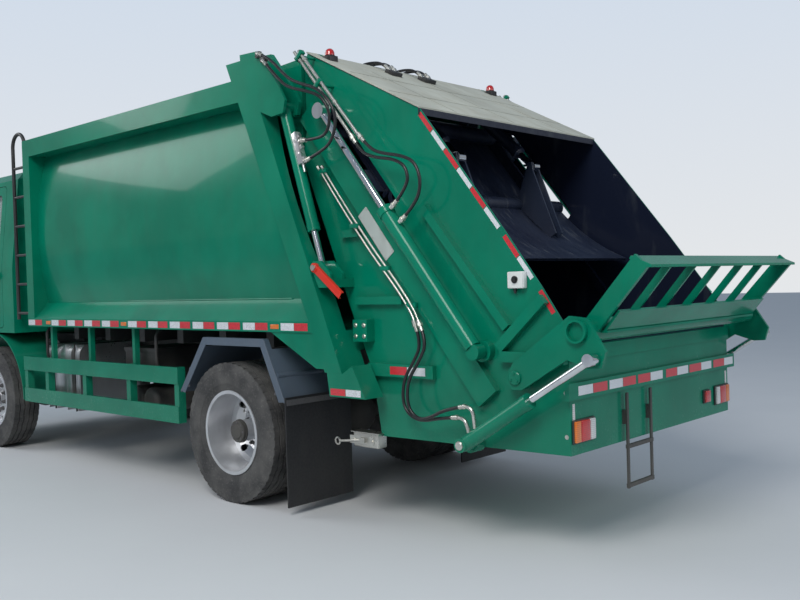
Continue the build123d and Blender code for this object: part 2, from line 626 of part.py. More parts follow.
def front_mudguards():
    """Arched guards behind and above the front wheels, with the step boxes in front of them."""
    r = 645
    outer = Pos(FRONT_AXLE_X, TYRE_R) * Circle(r + 10)
    ring = outer - Pos(FRONT_AXLE_X, TYRE_R) * Circle(r)
    arch = side_slab(ring, 780, CAB_HALF) - block(2000, 4000, 0, 1300, -300, 520)
    stays = [rod((FRONT_AXLE_X + s * 570, RAIL_Y, 815), (FRONT_AXLE_X + s * 570, 1100, 815), 22) for s in (-1, 1)]
    steps = block(3675, 4040, 880, CAB_HALF, 480, 985)
    for z in (520, 720):
        steps -= block(3715, 4000, 1000, CAB_HALF + 10, z, z + 150)
    hold = block(3700, 3900, RAIL_Y, 890, 830, 930)
    return both(fused(arch, stays), fused(steps, hold))


# Cab
def cab_solid(inset):
    """The cab's outer form, shrunk by inset: its side view crossed with its front view."""
    side = polygon([
        (CAB_BACK, CAB_FLOOR_Z), (CAB_BACK, CAB_ROOF_Z - 70), (CAB_BACK + 70, CAB_ROOF_Z),
        (CAB_FRONT - 330, CAB_ROOF_Z), (CAB_FRONT - 210, CAB_ROOF_Z - 60), (CAB_FRONT - 25, 1790),
        (CAB_FRONT, 1200), (CAB_FRONT, 1000), (CAB_FRONT - 450, 1000), (CAB_FRONT - 480, CAB_FLOOR_Z)])
    front = polygon([
        (CAB_HALF, 990), (CAB_HALF, 1800), (CAB_HALF - 95, CAB_ROOF_Z - 80), (CAB_HALF - 190, CAB_ROOF_Z + 10),
        (190 - CAB_HALF, CAB_ROOF_Z + 10), (95 - CAB_HALF, CAB_ROOF_Z - 80), (-CAB_HALF, 1800), (-CAB_HALF, 990)])
    if inset:
        side = offset(side, amount=-inset, kind=Kind.INTERSECTION)
        front = offset(front, amount=-inset, kind=Kind.INTERSECTION)
    return side_slab(side, -CAB_HALF - 10, CAB_HALF + 10) & cross_slab(front, CAB_BACK - 50, FRONT_END + 50)


def rounded_hole(x0, x1, z0, z1, radius):
    """An upright rounded rectangle in the side view."""
    return Pos((x0 + x1) / 2, (z0 + z1) / 2) * RectangleRounded(x1 - x0, z1 - z0, radius)


DOOR = (2740, 3900, 1215, 2630)       # x0, x1, z0, z1 of the left door
DOOR_WINDOW = (2830, 3800, 1850, 2550)
SCREEN_Y = 1030
SCREEN_Z = (1860, 2600)
DOOR_GAP = 6
DOOR_PIN_X = DOOR[1] + 2


def door_prism(margin, y0=985):
    x0, x1, z0, z1 = DOOR
    return side_slab(rounded_hole(x0 - margin, x1 + margin, z0 - margin, z1 + margin, 60), y0, CAB_HALF + 20)


def door_window(margin):
    x0, x1, z0, z1 = DOOR_WINDOW
    return side_slab(rounded_hole(x0 - margin, x1 + margin, z0 - margin, z1 + margin, 50), 950, CAB_HALF + 20)


def screen_prism(margin):
    z0, z1 = SCREEN_Z
    face = Pos(0, (z0 + z1) / 2) * RectangleRounded(2 * (SCREEN_Y + margin), z1 - z0 + 2 * margin, 60)
    return cross_slab(face, 3750, FRONT_END + 20)


KNUCKLE_R = 11
DOOR_PIN_Y = CAB_HALF + KNUCKLE_R + GAP
KNUCKLE = 40              # height of each hinge knuckle


def door_knuckles(of_cab):
    """The knuckles of the left door's two hinges: the cab's are below, the door's just above them."""
    pieces = []
    for z in (1360, 1690):
        z0 = z if of_cab else z + KNUCKLE + GAP
        leaf = (DOOR_PIN_X, DOOR_PIN_X + 60) if of_cab else (DOOR_PIN_X - 60, DOOR_PIN_X)
        pieces.append(rod((DOOR_PIN_X, DOOR_PIN_Y, z0), (DOOR_PIN_X, DOOR_PIN_Y, z0 + KNUCKLE), KNUCKLE_R))
        pieces.append(block(*leaf, CAB_HALF - 0.1, DOOR_PIN_Y + 4, z0, z0 + KNUCKLE))
    return pieces


def cab_pieces():
    """The cab's shell, doors and panes, all cut from the same forms."""
    skin = cab_solid(0) - cab_solid(CAB_WALL)
    pane = cab_solid(18) - cab_solid(24)
    left = door_prism(DOOR_GAP)
    right = mirror(left, about=Plane.XZ)
    shell = fused(skin - left - right - screen_prism(0), both(door_knuckles(1)))
    door = fused((skin & door_prism(0)) - door_window(0), door_knuckles(0))
    door_pane = pane & door_window(-GAP)
    screen = pane & screen_prism(-GAP)
    y0, y1 = CAB_HINGE_Y - 26, CAB_HINGE_Y + 26
    foot = block(4040, 4120, y0, y1, CAB_PIVOT[1], 1001)
    return fused(shell, both(foot), both(cross_rod(CAB_PIVOT, 40, y0, y1))), door, door_pane, screen


def cab_mounts():
    """Ears on the rails that carry the cab's tilt hinge, and the rest for its rear."""
    ears = []
    for y in (CAB_HINGE_Y - 26 - GAP - 20, CAB_HINGE_Y + 26 + GAP):
        ear = block(4040, 4120, y, y + 20, RAIL_Z1 - 190, 900) + cross_rod(CAB_PIVOT, 40, y, y + 20)
        ears.append(ear)
    base = block(RAIL_FRONT, 4120, CAB_HINGE_Y - 50, RAIL_Y, 790, 820)
    rest = block(2520, 2640, -RAIL_Y, RAIL_Y, 1100, CAB_FLOOR_Z - GAP)
    legs = [block(2540, 2620, s * 395 - 35, s * 395 + 35, RAIL_Z1, 1101) for s in (-1, 1)]
    return fused(both(*ears), both(base), rest, legs)


def cab_interior():
    """Seats, dashboard and steering wheel."""
    floor = CAB_FLOOR_Z + CAB_WALL
    seats = []
    for y in (-560, 560):
        base = block(2830, 3330, y - 230, y + 230, floor + 130, floor + 330)
        foot = block(2880, 3280, y - 180, y + 180, floor + GAP, floor + 131)
        back = side_slab(strip((2860, floor + 300), (2740, floor + 950), 130), y - 230, y + 230)
        seats.append(fused(base, foot, back))
    dash = side_slab(polygon([(3860, 1500), (3780, 1640), (3800, 1760), (4080, 1760), (4100, 1500)]), -1110, 1110)
    column = rod((3880, 560, 1560), (3630, 560, 1862), 30)
    stand = block(3880, 4000, -300, 300, 1000 + CAB_WALL + GAP, 1501)
    wheel = Plane(origin=(3630, 560, 1862), z_dir=(-240, 0, 290)) * Torus(225, 16)
    spokes = rod((3630, 560, 1862), (3632, 560, 1860), 60)
    bar = Plane(origin=(3630, 560, 1862), z_dir=(-240, 0, 290)) * Box(30, 450, 14)
    return fused(seats[0]), fused(seats[1]), fused(dash, column, stand, wheel, spokes, bar)


def cab_mirrors():
    """Folding mirror arms with two glasses on each side."""
    arms = [rod((4060, CAB_HALF - 25, z), (4080, 1330, z), 13) for z in (1880, 2400)]
    arms[1] = rod((4010, CAB_HALF - 95, 2400), (4080, 1330, 2400), 13)
    tube = rod((4080, 1330, 1850), (4080, 1330, 2430), 15)
    main = block(4040, 4100, 1240, 1420, 2020, 2390)
    small = block(4040, 4100, 1250, 1410, 1840, 1990)
    main = fillet(main.edges().filter_by(Axis.X), 30)
    small = fillet(small.edges().filter_by(Axis.X), 30)
    return both(fused(arms, tube, main, small) - cab_solid(0))


# Tailgate
SLIDE_Y = 1100
BOSS = along(PIVOT_UP, RAIL_ANGLE, 750)       # drive shaft of the carriage, raised
SLIDE_PIN = along(BOSS, RAIL_ANGLE + 180, 1955)
PIVOT_DOWN = along(PIVOT_UP, RAIL_ANGLE + 180, SLIDE_TRAVEL)
HOOD_FRONT = (-1735, 3122)
HOOD_KNEE = (-2727, 2602)
HOOD_SHEET = 10


def tail_outline():
    return polygon([
        (-1735, 3108), (-2727, 2590), (-3330, 1820), (-3560, 1510), (-3690, 1320), (LIP_X, LIP_Z),
        (TAIL_REAR_X, LIP_Z - 20), (TAIL_REAR_X, TAIL_BOTTOM_Z), (-2330, TAIL_BOTTOM_Z - 20), (-2260, 1000),
        (rear_plane_x(1330) - 40, 1330), (rear_plane_x(2400) - 40, 2400), (-1704, 2600), (-1704, 3040)])


def trough_path(radius):
    """Trough section: lip, arc about the lowered blade pivot, and the ramp up to the container's floor."""
    x, z = PIVOT_DOWN
    a0, a1 = 201, RAIL_ANGLE + 270
    start = along(PIVOT_DOWN, a0, radius)
    end = along(PIVOT_DOWN, a1, radius)
    mid = along(PIVOT_DOWN, (a0 + a1) / 2, radius)
    return start, mid, end, along(end, RAIL_ANGLE, 335)


def trough():
    inner = trough_path(TROUGH_R)
    outer = trough_path(TROUGH_R + 12)
    edges = [
        ThreePointArc(*inner[:3]), Line(inner[2], inner[3]), Line(inner[3], outer[3]), Line(outer[3], outer[2]),
        ThreePointArc(outer[2], outer[1], outer[0]), Line(outer[0], inner[0])]
    return side_slab(make_face(edges), TAIL_WALL - TAIL_Y, TAIL_Y - TAIL_WALL)


def tailgate_shell():
    """Side plates, trough, rear panel, bottom and lip, welded as one, with the slots of the drive shaft."""
    plate = side_slab(tail_outline(), TAIL_Y - TAIL_WALL, TAIL_Y)
    slot = strip(BOSS, along(BOSS, RAIL_ANGLE + 180, SLIDE_TRAVEL), 96)
    plate -= side_slab(slot, TAIL_Y - 30, TAIL_Y + 10)
    plate -= cross_rod(BOSS, 48, TAIL_Y - 30, TAIL_Y + 10)
    plate -= cross_rod(along(BOSS, RAIL_ANGLE + 180, SLIDE_TRAVEL), 48, TAIL_Y - 30, TAIL_Y + 10)
    inner = TAIL_Y - TAIL_WALL
    rear = block(TAIL_REAR_X, TAIL_REAR_X + 10, -inner, inner, TAIL_BOTTOM_Z, LIP_Z)
    lip = side_slab(polygon([
        (LIP_X, LIP_Z - 80), (LIP_X, LIP_Z), (-3640, LIP_Z + 8), (-3640, LIP_Z - 80)]), -inner, inner)
    bottom = side_slab(polygon([
        (TAIL_REAR_X, TAIL_BOTTOM_Z), (-2330, TAIL_BOTTOM_Z - 20), (-2330, TAIL_BOTTOM_Z - 12),
        (TAIL_REAR_X, TAIL_BOTTOM_Z + 8)]), -inner, inner)
    front = side_slab(polygon([
        (-2330, TAIL_BOTTOM_Z - 20), (-2260, 1000), (-2268, 1000), (-2340, TAIL_BOTTOM_Z - 20)]), -inner, inner)
    guide = side_slab(strip(along(PIVOT_UP, RAIL_ANGLE, -750), along(PIVOT_UP, RAIL_ANGLE, 820), 60, -120), 948, inner + 1)
    return fused(both(plate), trough(), rear, lip, bottom, front, both(guide))


BEAM_DEPTH = 46           # how far the outside beams stand off the side plates
BEAM_SHIFT = 145          # middle of the long beam, in front of the slide cylinder


def tailgate_beams():
    """The frame on the outside of the side plates: long beam, channel rail, braces, stiffeners and lugs."""
    y0, y1 = TAIL_Y, TAIL_Y + BEAM_DEPTH
    pieces = [
        side_slab(strip(along(SLIDE_PIN, RAIL_ANGLE, -230), along(SLIDE_PIN, RAIL_ANGLE, 2120), 160, -BEAM_SHIFT), y0, y1),
        side_slab(strip((-2760, 1990), (-3350, 1280), 52), y0, y1),
        side_slab(strip((-3290, 1165), (-3590, 1440), 60), y0, y1),
        side_slab(strip((-3720, 1120), (-3300, 1120), 60), y0, y1)]
    for x0, x1, z0, z1 in ((-2200, -2040, 1850, 1900), (-2560, -2160, 1415, 1465), (-2800, -2260, 965, 1045)):
        pieces.append(block(x0, x1, y0, y1 - 10, z0, z1))
    lug = fused(cross_rod(SLIDE_PIN, 62, y0, y1), cross_rod(SLIDE_PIN, 30, y0, SLIDE_Y - 37))
    lock = block(-2290, -2165, y0, y0 + 70, 1180, 1320)
    hub = cross_rod(LIFT_PIVOT, 70, y0, LIFTER_ARM_Y - GAP)
    foot = cross_rod(LIFTER_CYLINDER_PIN, 55, y0, LIFTER_CYLINDER_Y - 46)
    return both(fused(pieces, lug, lock, hub, foot), lift_lug())


def lift_lug():
    """The fork on the side plate that takes the lift cylinder's eye; its pin is left open."""
    x, z = LIFT_EYE
    cheek = polygon([(x - 40, z + 42), (x + 30, z + 42), (x + 30, z - 40), (x - 20, z - 130), (x - 130, z - 130),
                     (x - 130, z - 40)])
    inner = side_slab(cheek, LIFT_Y - 62, LIFT_Y - 42)
    outer = side_slab(cheek, LIFT_Y + 42, LIFT_Y + 62)
    bridge = block(x - 130, x - 30, TAIL_Y, LIFT_Y + 62, z - 130, z - 75)
    return fused(inner, outer, bridge, cross_rod(LIFT_EYE, 24, LIFT_Y + 61, LIFT_Y + 68))


LIFTER_ARM_Y = 1056
LIFTER_CYLINDER_Y = 1125
LIFTER_CYLINDER_PIN = (-3100, 620)
LIFTER_EYE = (-3930, 1130)


def tailgate_hood():
    """The roof sheet from the hinge to the knee, with the lugs and pins of the hinge under it."""
    dx, dz = HOOD_KNEE[0] - HOOD_FRONT[0], HOOD_KNEE[1] - HOOD_FRONT[1]
    length = hypot(dx, dz)
    nx, nz = -dz / length * HOOD_SHEET, dx / length * HOOD_SHEET
    sheet = side_slab(polygon([HOOD_FRONT, HOOD_KNEE, (HOOD_KNEE[0] + nx, HOOD_KNEE[1] + nz),
                               (HOOD_FRONT[0] + nx, HOOD_FRONT[1] + nz)]), -1006, 1006)
    drip = block(HOOD_KNEE[0], HOOD_KNEE[0] + 8, -1006, 1006, HOOD_KNEE[1] - 48, HOOD_KNEE[1] - 4)
    ear = polygon([(-1680, 3085), (-1710, 3125), (-1745, 3120), (-1930, 3010), (-1930, 2960), (-1760, 3030), (-1690, 3040)])
    ears = [side_slab(ear, HINGE_LUG_Y + s - 10, HINGE_LUG_Y + s + 10) for s in (-33, 33)]
    pin = cross_rod(HINGE, 25, HINGE_LUG_Y - 46, HINGE_LUG_Y + 46)
    notch = block(-1800, -1600, HINGE_LUG_Y - 30, HINGE_LUG_Y + 30, 3000, 3200)
    hood = fused(sheet - notch - mirror(notch, about=Plane.XZ), drip, both(*ears), both(pin))
    plate = side_slab(tail_outline(), TAIL_Y - TAIL_WALL, TAIL_Y)
    return hood - plate - mirror(plate, about=Plane.XZ)


def tail_lamps():
    """Lamp clusters under the striped beam, with the beam itself."""
    beam = block(TAIL_REAR_X - 28, TAIL_REAR_X - GAP, -1051, 1051, 900, 990)
    lamps = [block(TAIL_REAR_X - 24, TAIL_REAR_X - GAP, s * 880 - 110, s * 880 + 110, 660, 790) for s in (-1, 1)]
    extra = block(TAIL_REAR_X - 24, TAIL_REAR_X - GAP, -690, -600, 690, 780)
    return beam, lamps + [extra]


def rear_step():
    """The folding step ladder under the lip."""
    stiles = [block(TAIL_REAR_X - 30, TAIL_REAR_X - 20, y, y + 22, 330, 880) for y in (150, 430)]
    rungs = [block(TAIL_REAR_X - 34, TAIL_REAR_X - 16, 150, 452, z, z + 22) for z in (335, 560)]
    hold = [block(TAIL_REAR_X - 20.5, TAIL_REAR_X - GAP, y - 4, y + 26, 700, 780) for y in (150, 430)]
    return fused(stiles, rungs, hold)


def slide_barrels():
    """The long cylinders beside the side plates that raise the carriage."""
    y = SLIDE_Y
    tube = side_rod(along(SLIDE_PIN, RAIL_ANGLE, 60), along(SLIDE_PIN, RAIL_ANGLE, 1085), y, 48, 37)
    base = side_rod(along(SLIDE_PIN, RAIL_ANGLE, 30), along(SLIDE_PIN, RAIL_ANGLE, 61), y, 48)
    eye = cross_rod(SLIDE_PIN, 46, y - 36, y + 36)
    head = side_rod(along(SLIDE_PIN, RAIL_ANGLE, 1040), along(SLIDE_PIN, RAIL_ANGLE, 1086), y, 54, 25 + GAP)
    return both(fused(tube, base, eye, head))


def carriage():
    """The raised slide plate with its top tube, drive shafts, shoes and blade lugs."""
    plate = side_slab(strip(along(PIVOT_UP, RAIL_ANGLE, 75), along(PIVOT_UP, RAIL_ANGLE, 820), 24, -66), -900, 900)
    top = cross_rod(BOSS, 60, -935, 935)
    shaft = cross_rod(BOSS, 35, 900, SLIDE_Y - 36 - GAP)
    ribs = [side_slab(strip(along(PIVOT_UP, RAIL_ANGLE, 90), BOSS, 90, -20), y - 12, y + 12) for y in (-720, 0, 720)]
    lugs = []
    for y in (-720, 0, 720):
        arm = side_slab(strip(PIVOT_UP, along(PIVOT_UP, RAIL_ANGLE, 130), 100, -20), y - 22, y + 22)
        lugs.append(arm + cross_rod(PIVOT_UP, 55, y - 22, y + 22))
    shoes = []
    for s0 in (110, 600):
        a, b = along(PIVOT_UP, RAIL_ANGLE, s0), along(PIVOT_UP, RAIL_ANGLE, s0 + 190)
        shoe = side_slab(strip(a, b, 110, -120), 899, 944)
        shoe += side_slab(strip(a, b, 20, -78), 940, 984)
        shoe += side_slab(strip(a, b, 20, -162), 940, 984)
        shoes.append(shoe)
    ears = []
    for y in (PACK_Y - 64, PACK_Y + 50):
        ear = side_slab(strip(PACK_TOP, along(PIVOT_UP, RAIL_ANGLE, 760, -40), 80), y, y + 14)
        ears.append(ear + cross_rod(PACK_TOP, 42, y, y + 14))
    link = side_slab(strip(along(PIVOT_UP, RAIL_ANGLE, 75), along(PIVOT_UP, RAIL_ANGLE, 110), 60, -60), -900, 900)
    return fused(plate, top, both(shaft), ribs, lugs, both(*shoes), both(*ears), link)


PACK_Y = 430
PACK_TOP = along(PIVOT_UP, RAIL_ANGLE, 850, 150)
PACK_EYE = along(PIVOT_UP, LEVER_OPEN, LEVER)
PACK_BARREL = 560


def packer_blade():
    """The swinging blade: hub tube, curved plate, ribs and the levers for its cylinders."""
    tip = along(PIVOT_UP, BLADE_OPEN, BLADE_LENGTH)
    mid = along(PIVOT_UP, BLADE_OPEN, BLADE_LENGTH / 2, 40)
    mid_in = along(PIVOT_UP, BLADE_OPEN, BLADE_LENGTH / 2, 70)
    root = along(PIVOT_UP, BLADE_OPEN, 30, 0)
    tip_in = along(PIVOT_UP, BLADE_OPEN, BLADE_LENGTH - 10, 26)
    root_in = along(PIVOT_UP, BLADE_OPEN, 30, 30)
    face = make_face([ThreePointArc(root, mid, tip), Line(tip, tip_in), ThreePointArc(tip_in, mid_in, root_in),
                      Line(root_in, root)])
    plate = side_slab(face, -BLADE_Y + 45, BLADE_Y - 45)
    tube = cross_rod(PIVOT_UP, 52, -BLADE_Y + 45, BLADE_Y - 45, 20)
    for y in (-720, 0, 720):
        gap = block(PIVOT_UP[0] - 90, PIVOT_UP[0] + 90, y - 22 - GAP, y + 22 + GAP, PIVOT_UP[1] - 90, PIVOT_UP[1] + 90)
        tube -= gap
        plate -= cross_rod(PIVOT_UP, 62, y - 24, y + 24)
    levers = []
    for y in (PACK_Y - 47, PACK_Y + 33):
        outline = polygon([PIVOT_UP, along(PACK_EYE, RAIL_ANGLE, 30), along(PACK_EYE, LEVER_OPEN, 34),
                           along(PACK_EYE, RAIL_ANGLE + 180, 38), along(PIVOT_UP, BLADE_OPEN, 400, -10),
                           along(PIVOT_UP, BLADE_OPEN, 380, 45)])
        levers.append(side_slab(outline, y, y + 14))
    return fused(plate, tube, both(*levers))


def packer_barrels():
    """Cylinders between the carriage's top and the blade's levers."""
    reach = hypot(PACK_EYE[0] - PACK_TOP[0], PACK_EYE[1] - PACK_TOP[1])
    angle = degrees(atan2(PACK_EYE[1] - PACK_TOP[1], PACK_EYE[0] - PACK_TOP[0]))
    eye = cross_rod(PACK_TOP, 38, PACK_Y - 50 + GAP, PACK_Y + 50 - GAP)
    base = side_rod(along(PACK_TOP, angle, 20), along(PACK_TOP, angle, 66), PACK_Y, 44)
    tube = side_rod(along(PACK_TOP, angle, 65), along(PACK_TOP, angle, PACK_BARREL), PACK_Y, 44, 33)
    head = side_rod(along(PACK_TOP, angle, PACK_BARREL - 40), along(PACK_TOP, angle, PACK_BARREL), PACK_Y, 49, 24.5)
    rod_in = side_rod(along(PACK_TOP, angle, 90), along(PACK_TOP, angle, reach - 20), PACK_Y, 24)
    rod_eye = cross_rod(PACK_EYE, 36, PACK_Y - 33 + GAP, PACK_Y + 33 - GAP)
    return both(fused(eye, base, tube, head)), both(fused(rod_in, rod_eye))


LIFT_BARREL = 880


def lift_cylinders():
    """The steep cylinders beside the posts that raise the tailgate."""
    reach = hypot(LIFT_EYE[0] - LIFT_TOP[0], LIFT_EYE[1] - LIFT_TOP[1])
    angle = degrees(atan2(LIFT_EYE[1] - LIFT_TOP[1], LIFT_EYE[0] - LIFT_TOP[0]))
    eye = cross_rod(LIFT_TOP, 40, LIFT_Y - 52 + GAP, LIFT_Y + 50 - GAP)
    base = side_rod(along(LIFT_TOP, angle, 20), along(LIFT_TOP, angle, 76), LIFT_Y, 40)
    tube = side_rod(along(LIFT_TOP, angle, 75), along(LIFT_TOP, angle, LIFT_BARREL), LIFT_Y, 40, 29)
    head = side_rod(along(LIFT_TOP, angle, LIFT_BARREL - 46), along(LIFT_TOP, angle, LIFT_BARREL), LIFT_Y, 43, 22.5)
    rod_in = side_rod(along(LIFT_TOP, angle, 340), along(LIFT_TOP, angle, reach - 20), LIFT_Y, 22)
    rod_eye = cross_rod(LIFT_EYE, 34, LIFT_Y - 41, LIFT_Y + 41)
    return both(fused(eye, base, tube, head)), both(fused(rod_in, rod_eye))


LIFTER_BARREL = 535


def lifter_cylinders():
    """The low cylinders that swing the bin lifter."""
    y = LIFTER_CYLINDER_Y
    start, end = LIFTER_CYLINDER_PIN, LIFTER_EYE
    reach = hypot(end[0] - start[0], end[1] - start[1])
    angle = degrees(atan2(end[1] - start[1], end[0] - start[0]))
    eye = cross_rod(start, 40, y - 46 + GAP, y + 45)
    base = side_rod(along(start, angle, 20), along(start, angle, 56), y, 42)
    tube = side_rod(along(start, angle, 55), along(start, angle, LIFTER_BARREL), y, 42, 32)
    head = side_rod(along(start, angle, LIFTER_BARREL - 40), along(start, angle, LIFTER_BARREL), y, 46, 21.5)
    rod_in = side_rod(along(start, angle, 365), along(start, angle, reach - 20), y, 21)
    rod_eye = cross_rod(end, 33, y - 30, y + 30)
    return both(fused(eye, base, tube, head)), both(fused(rod_in, rod_eye))


def bin_lifter():
    """Arms on the pivot, the long torsion tube, and the tipping frame with its bar and struts."""
    arm_outline = polygon([
        (LIFT_PIVOT[0] + 60, LIFT_PIVOT[1] - 30), (LIFT_PIVOT[0] + 20, LIFT_PIVOT[1] + 75), (-3680, 1280),
        (-3780, 1350), (-3880, 1340), (-3990, 1170), (-3965, 1085), (-3890, 1080), (-3760, 1120),
        (LIFT_PIVOT[0] - 40, LIFT_PIVOT[1] - 65), (LIFT_PIVOT[0] + 20, LIFT_PIVOT[1] - 65)])
    arm = fused(side_slab(arm_outline, LIFTER_ARM_Y, LIFTER_ARM_Y + 22),
                cross_rod(LIFTER_EYE, 32, LIFTER_ARM_Y + 21, LIFTER_CYLINDER_Y - 30 - GAP))
    tube = cross_rod(TUBE_AT, TUBE_R, -LIFTER_ARM_Y - 50, LIFTER_ARM_Y + 50, TUBE_R - 12)
    side = side_slab(strip(TUBE_AT, (-4145, 1625), 95), LIFTER_Y - 26, LIFTER_Y)
    bar = side_slab(polygon([(-4090, BAR_Z), (REAR_END, BAR_Z - 48), (REAR_END, BAR_Z - 62), (-4130, BAR_Z - 62),
                             (-4080, BAR_Z - 14)]), -LIFTER_Y, LIFTER_Y)
    comb = side_slab(strip((-3910, 1262), (-4000, 1372), 14), -LIFTER_Y + 30, LIFTER_Y - 30)
    under = side_slab(strip((-3880, 1262), (-3930, 1262), 12), -LIFTER_Y + 30, LIFTER_Y - 30)
    struts = [side_slab(strip(TUBE_AT, (-4110, 1600), 40), y - 8, y + 8) for y in (-620, -320, 0, 320, 620)]
    return fused(tube, both(arm), both(side), bar, comb, under, struts)


# Writing the nodes
core = container_core()
save("frame_rails", fused(frame_rails(), cab_mounts()))
save("leaf_springs", leaf_springs())
save("front_axle", front_axle())
save("rear_axle", rear_axle())
save("left_knuckle", knuckle(1))
save("right_knuckle", knuckle(-1))
for name, sign in (("left", 1), ("right", -1)):
    save(f"front_{name}_rim", at_wheel(front_wheel_rim(), FRONT_AXLE_X, sign))
    save(f"front_{name}_tyre", at_wheel(tyre(FRONT_TRACK_Y), FRONT_AXLE_X, sign))
    save(f"rear_{name}_rims", at_wheel(rear_wheel_rims(), REAR_AXLE_X, sign))
    twins = [at_wheel(tyre(REAR_OUTER_Y), REAR_AXLE_X, sign), at_wheel(tyre(REAR_INNER_Y), REAR_AXLE_X, sign)]
    save(f"rear_{name}_tyres", twins)
save("container_shell", container_shell(core))
front_ring, rails, portal = container_frame(core)
save("container_frame", front_ring, rails, portal, body_end_caps())
save("access_ladder", access_ladder())
save("marker_lamps", both(*marker_lamps()))
save("ejector_panel", ejector_panel())
save("side_guards", side_guards())
save("rear_mudguards", rear_mudguards())
save("mud_flaps", mud_flaps())
save("fuel_tank", fuel_tank())
save("air_tanks", air_tanks())
save("battery_box", battery_box())
save("right_tanks", silencer(), oil_tank())
save("engine_block", fused(engine_block(), gearbox()))
save("front_bumper", front_bumper())
save("towing_jaw", towing_jaw())
save("headlamps", headlamps())
save("front_mudguards", front_mudguards())
cab_shell, left_door, left_pane, screen = cab_pieces()
save("cab_shell", cab_shell)
save("windscreen", screen)
save("left_door", left_door)
save("left_door_glass", left_pane)
save("right_door", mirror(left_door, about=Plane.XZ))
save("right_door_glass", mirror(left_pane, about=Plane.XZ))
right_seat, left_seat, dash = cab_interior()
save("cab_interior", right_seat, left_seat, dash)
save("cab_mirrors", cab_mirrors())
save("tailgate_shell", tailgate_shell())
stripe_beam, lamp_blocks = tail_lamps()
save("tailgate_beams", tailgate_beams(), stripe_beam)
save("tailgate_hood", tailgate_hood())
save("tail_lamps", lamp_blocks)
save("rear_step", rear_step())
save("slide_barrels", slide_barrels())
save("carriage", carriage())
rods = both(fused(side_rod(along(SLIDE_PIN, RAIL_ANGLE, 880), along(BOSS, RAIL_ANGLE, -20), SLIDE_Y, 25),
                  cross_rod(BOSS, 52, SLIDE_Y - 36, SLIDE_Y + 36)))
save("slide_rods", rods)
save("packer_blade", packer_blade())
barrels, piston_rods = packer_barrels()
save("packer_barrels", barrels)
save("packer_rods", piston_rods)
barrels, piston_rods = lift_cylinders()
save("lift_barrels", barrels)
save("lift_rods", piston_rods)
barrels, piston_rods = lifter_cylinders()
save("lifter_barrels", barrels)
save("lifter_rods", piston_rods)
save("bin_lifter", bin_lifter())
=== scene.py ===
# %% [markdown]
# # A rear-loading refuse truck
# The rigid forms of this truck are CAD nodes: cab, container, tailgate, packer and bin lifter, each on its own
# moving body. This notebook loads them as a fixed frame, gives each a finish that looks like the real one, and
# models what only a mesh can show well: road tread, wheel nuts, marking tape, lamps, hoses, bolts and seams.

# %% Load the frame
import json
from math import atan2, cos, hypot, pi, radians, sin

import bmesh
import bpy
from mathutils import Matrix, Vector


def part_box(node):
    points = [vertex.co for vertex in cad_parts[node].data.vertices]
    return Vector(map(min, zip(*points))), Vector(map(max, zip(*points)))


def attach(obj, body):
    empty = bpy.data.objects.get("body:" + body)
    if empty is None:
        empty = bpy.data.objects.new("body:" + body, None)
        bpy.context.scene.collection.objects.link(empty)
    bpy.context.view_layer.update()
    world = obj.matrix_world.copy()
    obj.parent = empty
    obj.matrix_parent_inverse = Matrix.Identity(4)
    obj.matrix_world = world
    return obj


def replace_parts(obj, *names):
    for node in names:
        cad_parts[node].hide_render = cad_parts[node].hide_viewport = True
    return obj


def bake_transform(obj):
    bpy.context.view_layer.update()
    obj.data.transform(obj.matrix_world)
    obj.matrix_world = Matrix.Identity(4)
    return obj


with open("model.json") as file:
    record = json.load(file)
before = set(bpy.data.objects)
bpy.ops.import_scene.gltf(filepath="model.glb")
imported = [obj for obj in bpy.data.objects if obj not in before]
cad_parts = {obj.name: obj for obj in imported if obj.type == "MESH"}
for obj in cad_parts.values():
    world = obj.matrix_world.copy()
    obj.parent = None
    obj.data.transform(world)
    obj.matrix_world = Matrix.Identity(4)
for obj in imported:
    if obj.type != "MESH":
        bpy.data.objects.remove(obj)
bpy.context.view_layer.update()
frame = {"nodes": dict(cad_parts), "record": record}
nodes = frame["nodes"]

# %% [markdown]
# ## The camera
# The photograph was taken from behind and to the left of the truck at eye height. A camera can be turned by Euler
# angles or by a matrix. Here its right and up directions were measured, so they are written down as they are, and the
# third direction is their cross product: three directions say more than three angles do.

# %% Camera
SENSOR_MM = 36.0
LENS_MM = 40.68
scene = bpy.context.scene
camera_data = bpy.data.cameras.new("camera")
camera_data.sensor_width = SENSOR_MM
camera_data.lens = LENS_MM
camera = bpy.data.objects.new("camera", camera_data)
scene.collection.objects.link(camera)
camera_right = Vector((-0.73211, -0.68052, -0.03009))
camera_up = Vector((-0.00859, -0.03495, 0.99935))
camera_back = camera_right.cross(camera_up)
camera_place = Vector((-6.328, 5.093, 1.551))
axes = Matrix((camera_right, camera_up, camera_back)).transposed()
camera.matrix_world = Matrix.Translation(camera_place) @ axes.to_4x4()
scene.camera = camera
print("camera at", tuple(camera_place), "looks along", tuple(round(c, 2) for c in -camera_back))

# %% [markdown]
# ## Finishes
# A painted truck is never one flat colour: the gloss coat ripples a little, dust gathers low down and in streaks, and
# edges dull. One helper makes a material whose colour is mixed from a main colour and a soil colour, by noise and
# by height above the road. Object coordinates are used, since every piece has its place in its mesh, so height is Z.

# %% Node helpers
def new_material(name):
    """An empty node material with its Principled shader, its node tree and an Object coordinate socket."""
    material = bpy.data.materials.new(name)
    material.use_nodes = True
    tree = material.node_tree
    shader = tree.nodes["Principled BSDF"]
    coordinates = tree.nodes.new("ShaderNodeTexCoord")
    return material, tree, shader, coordinates.outputs["Object"]


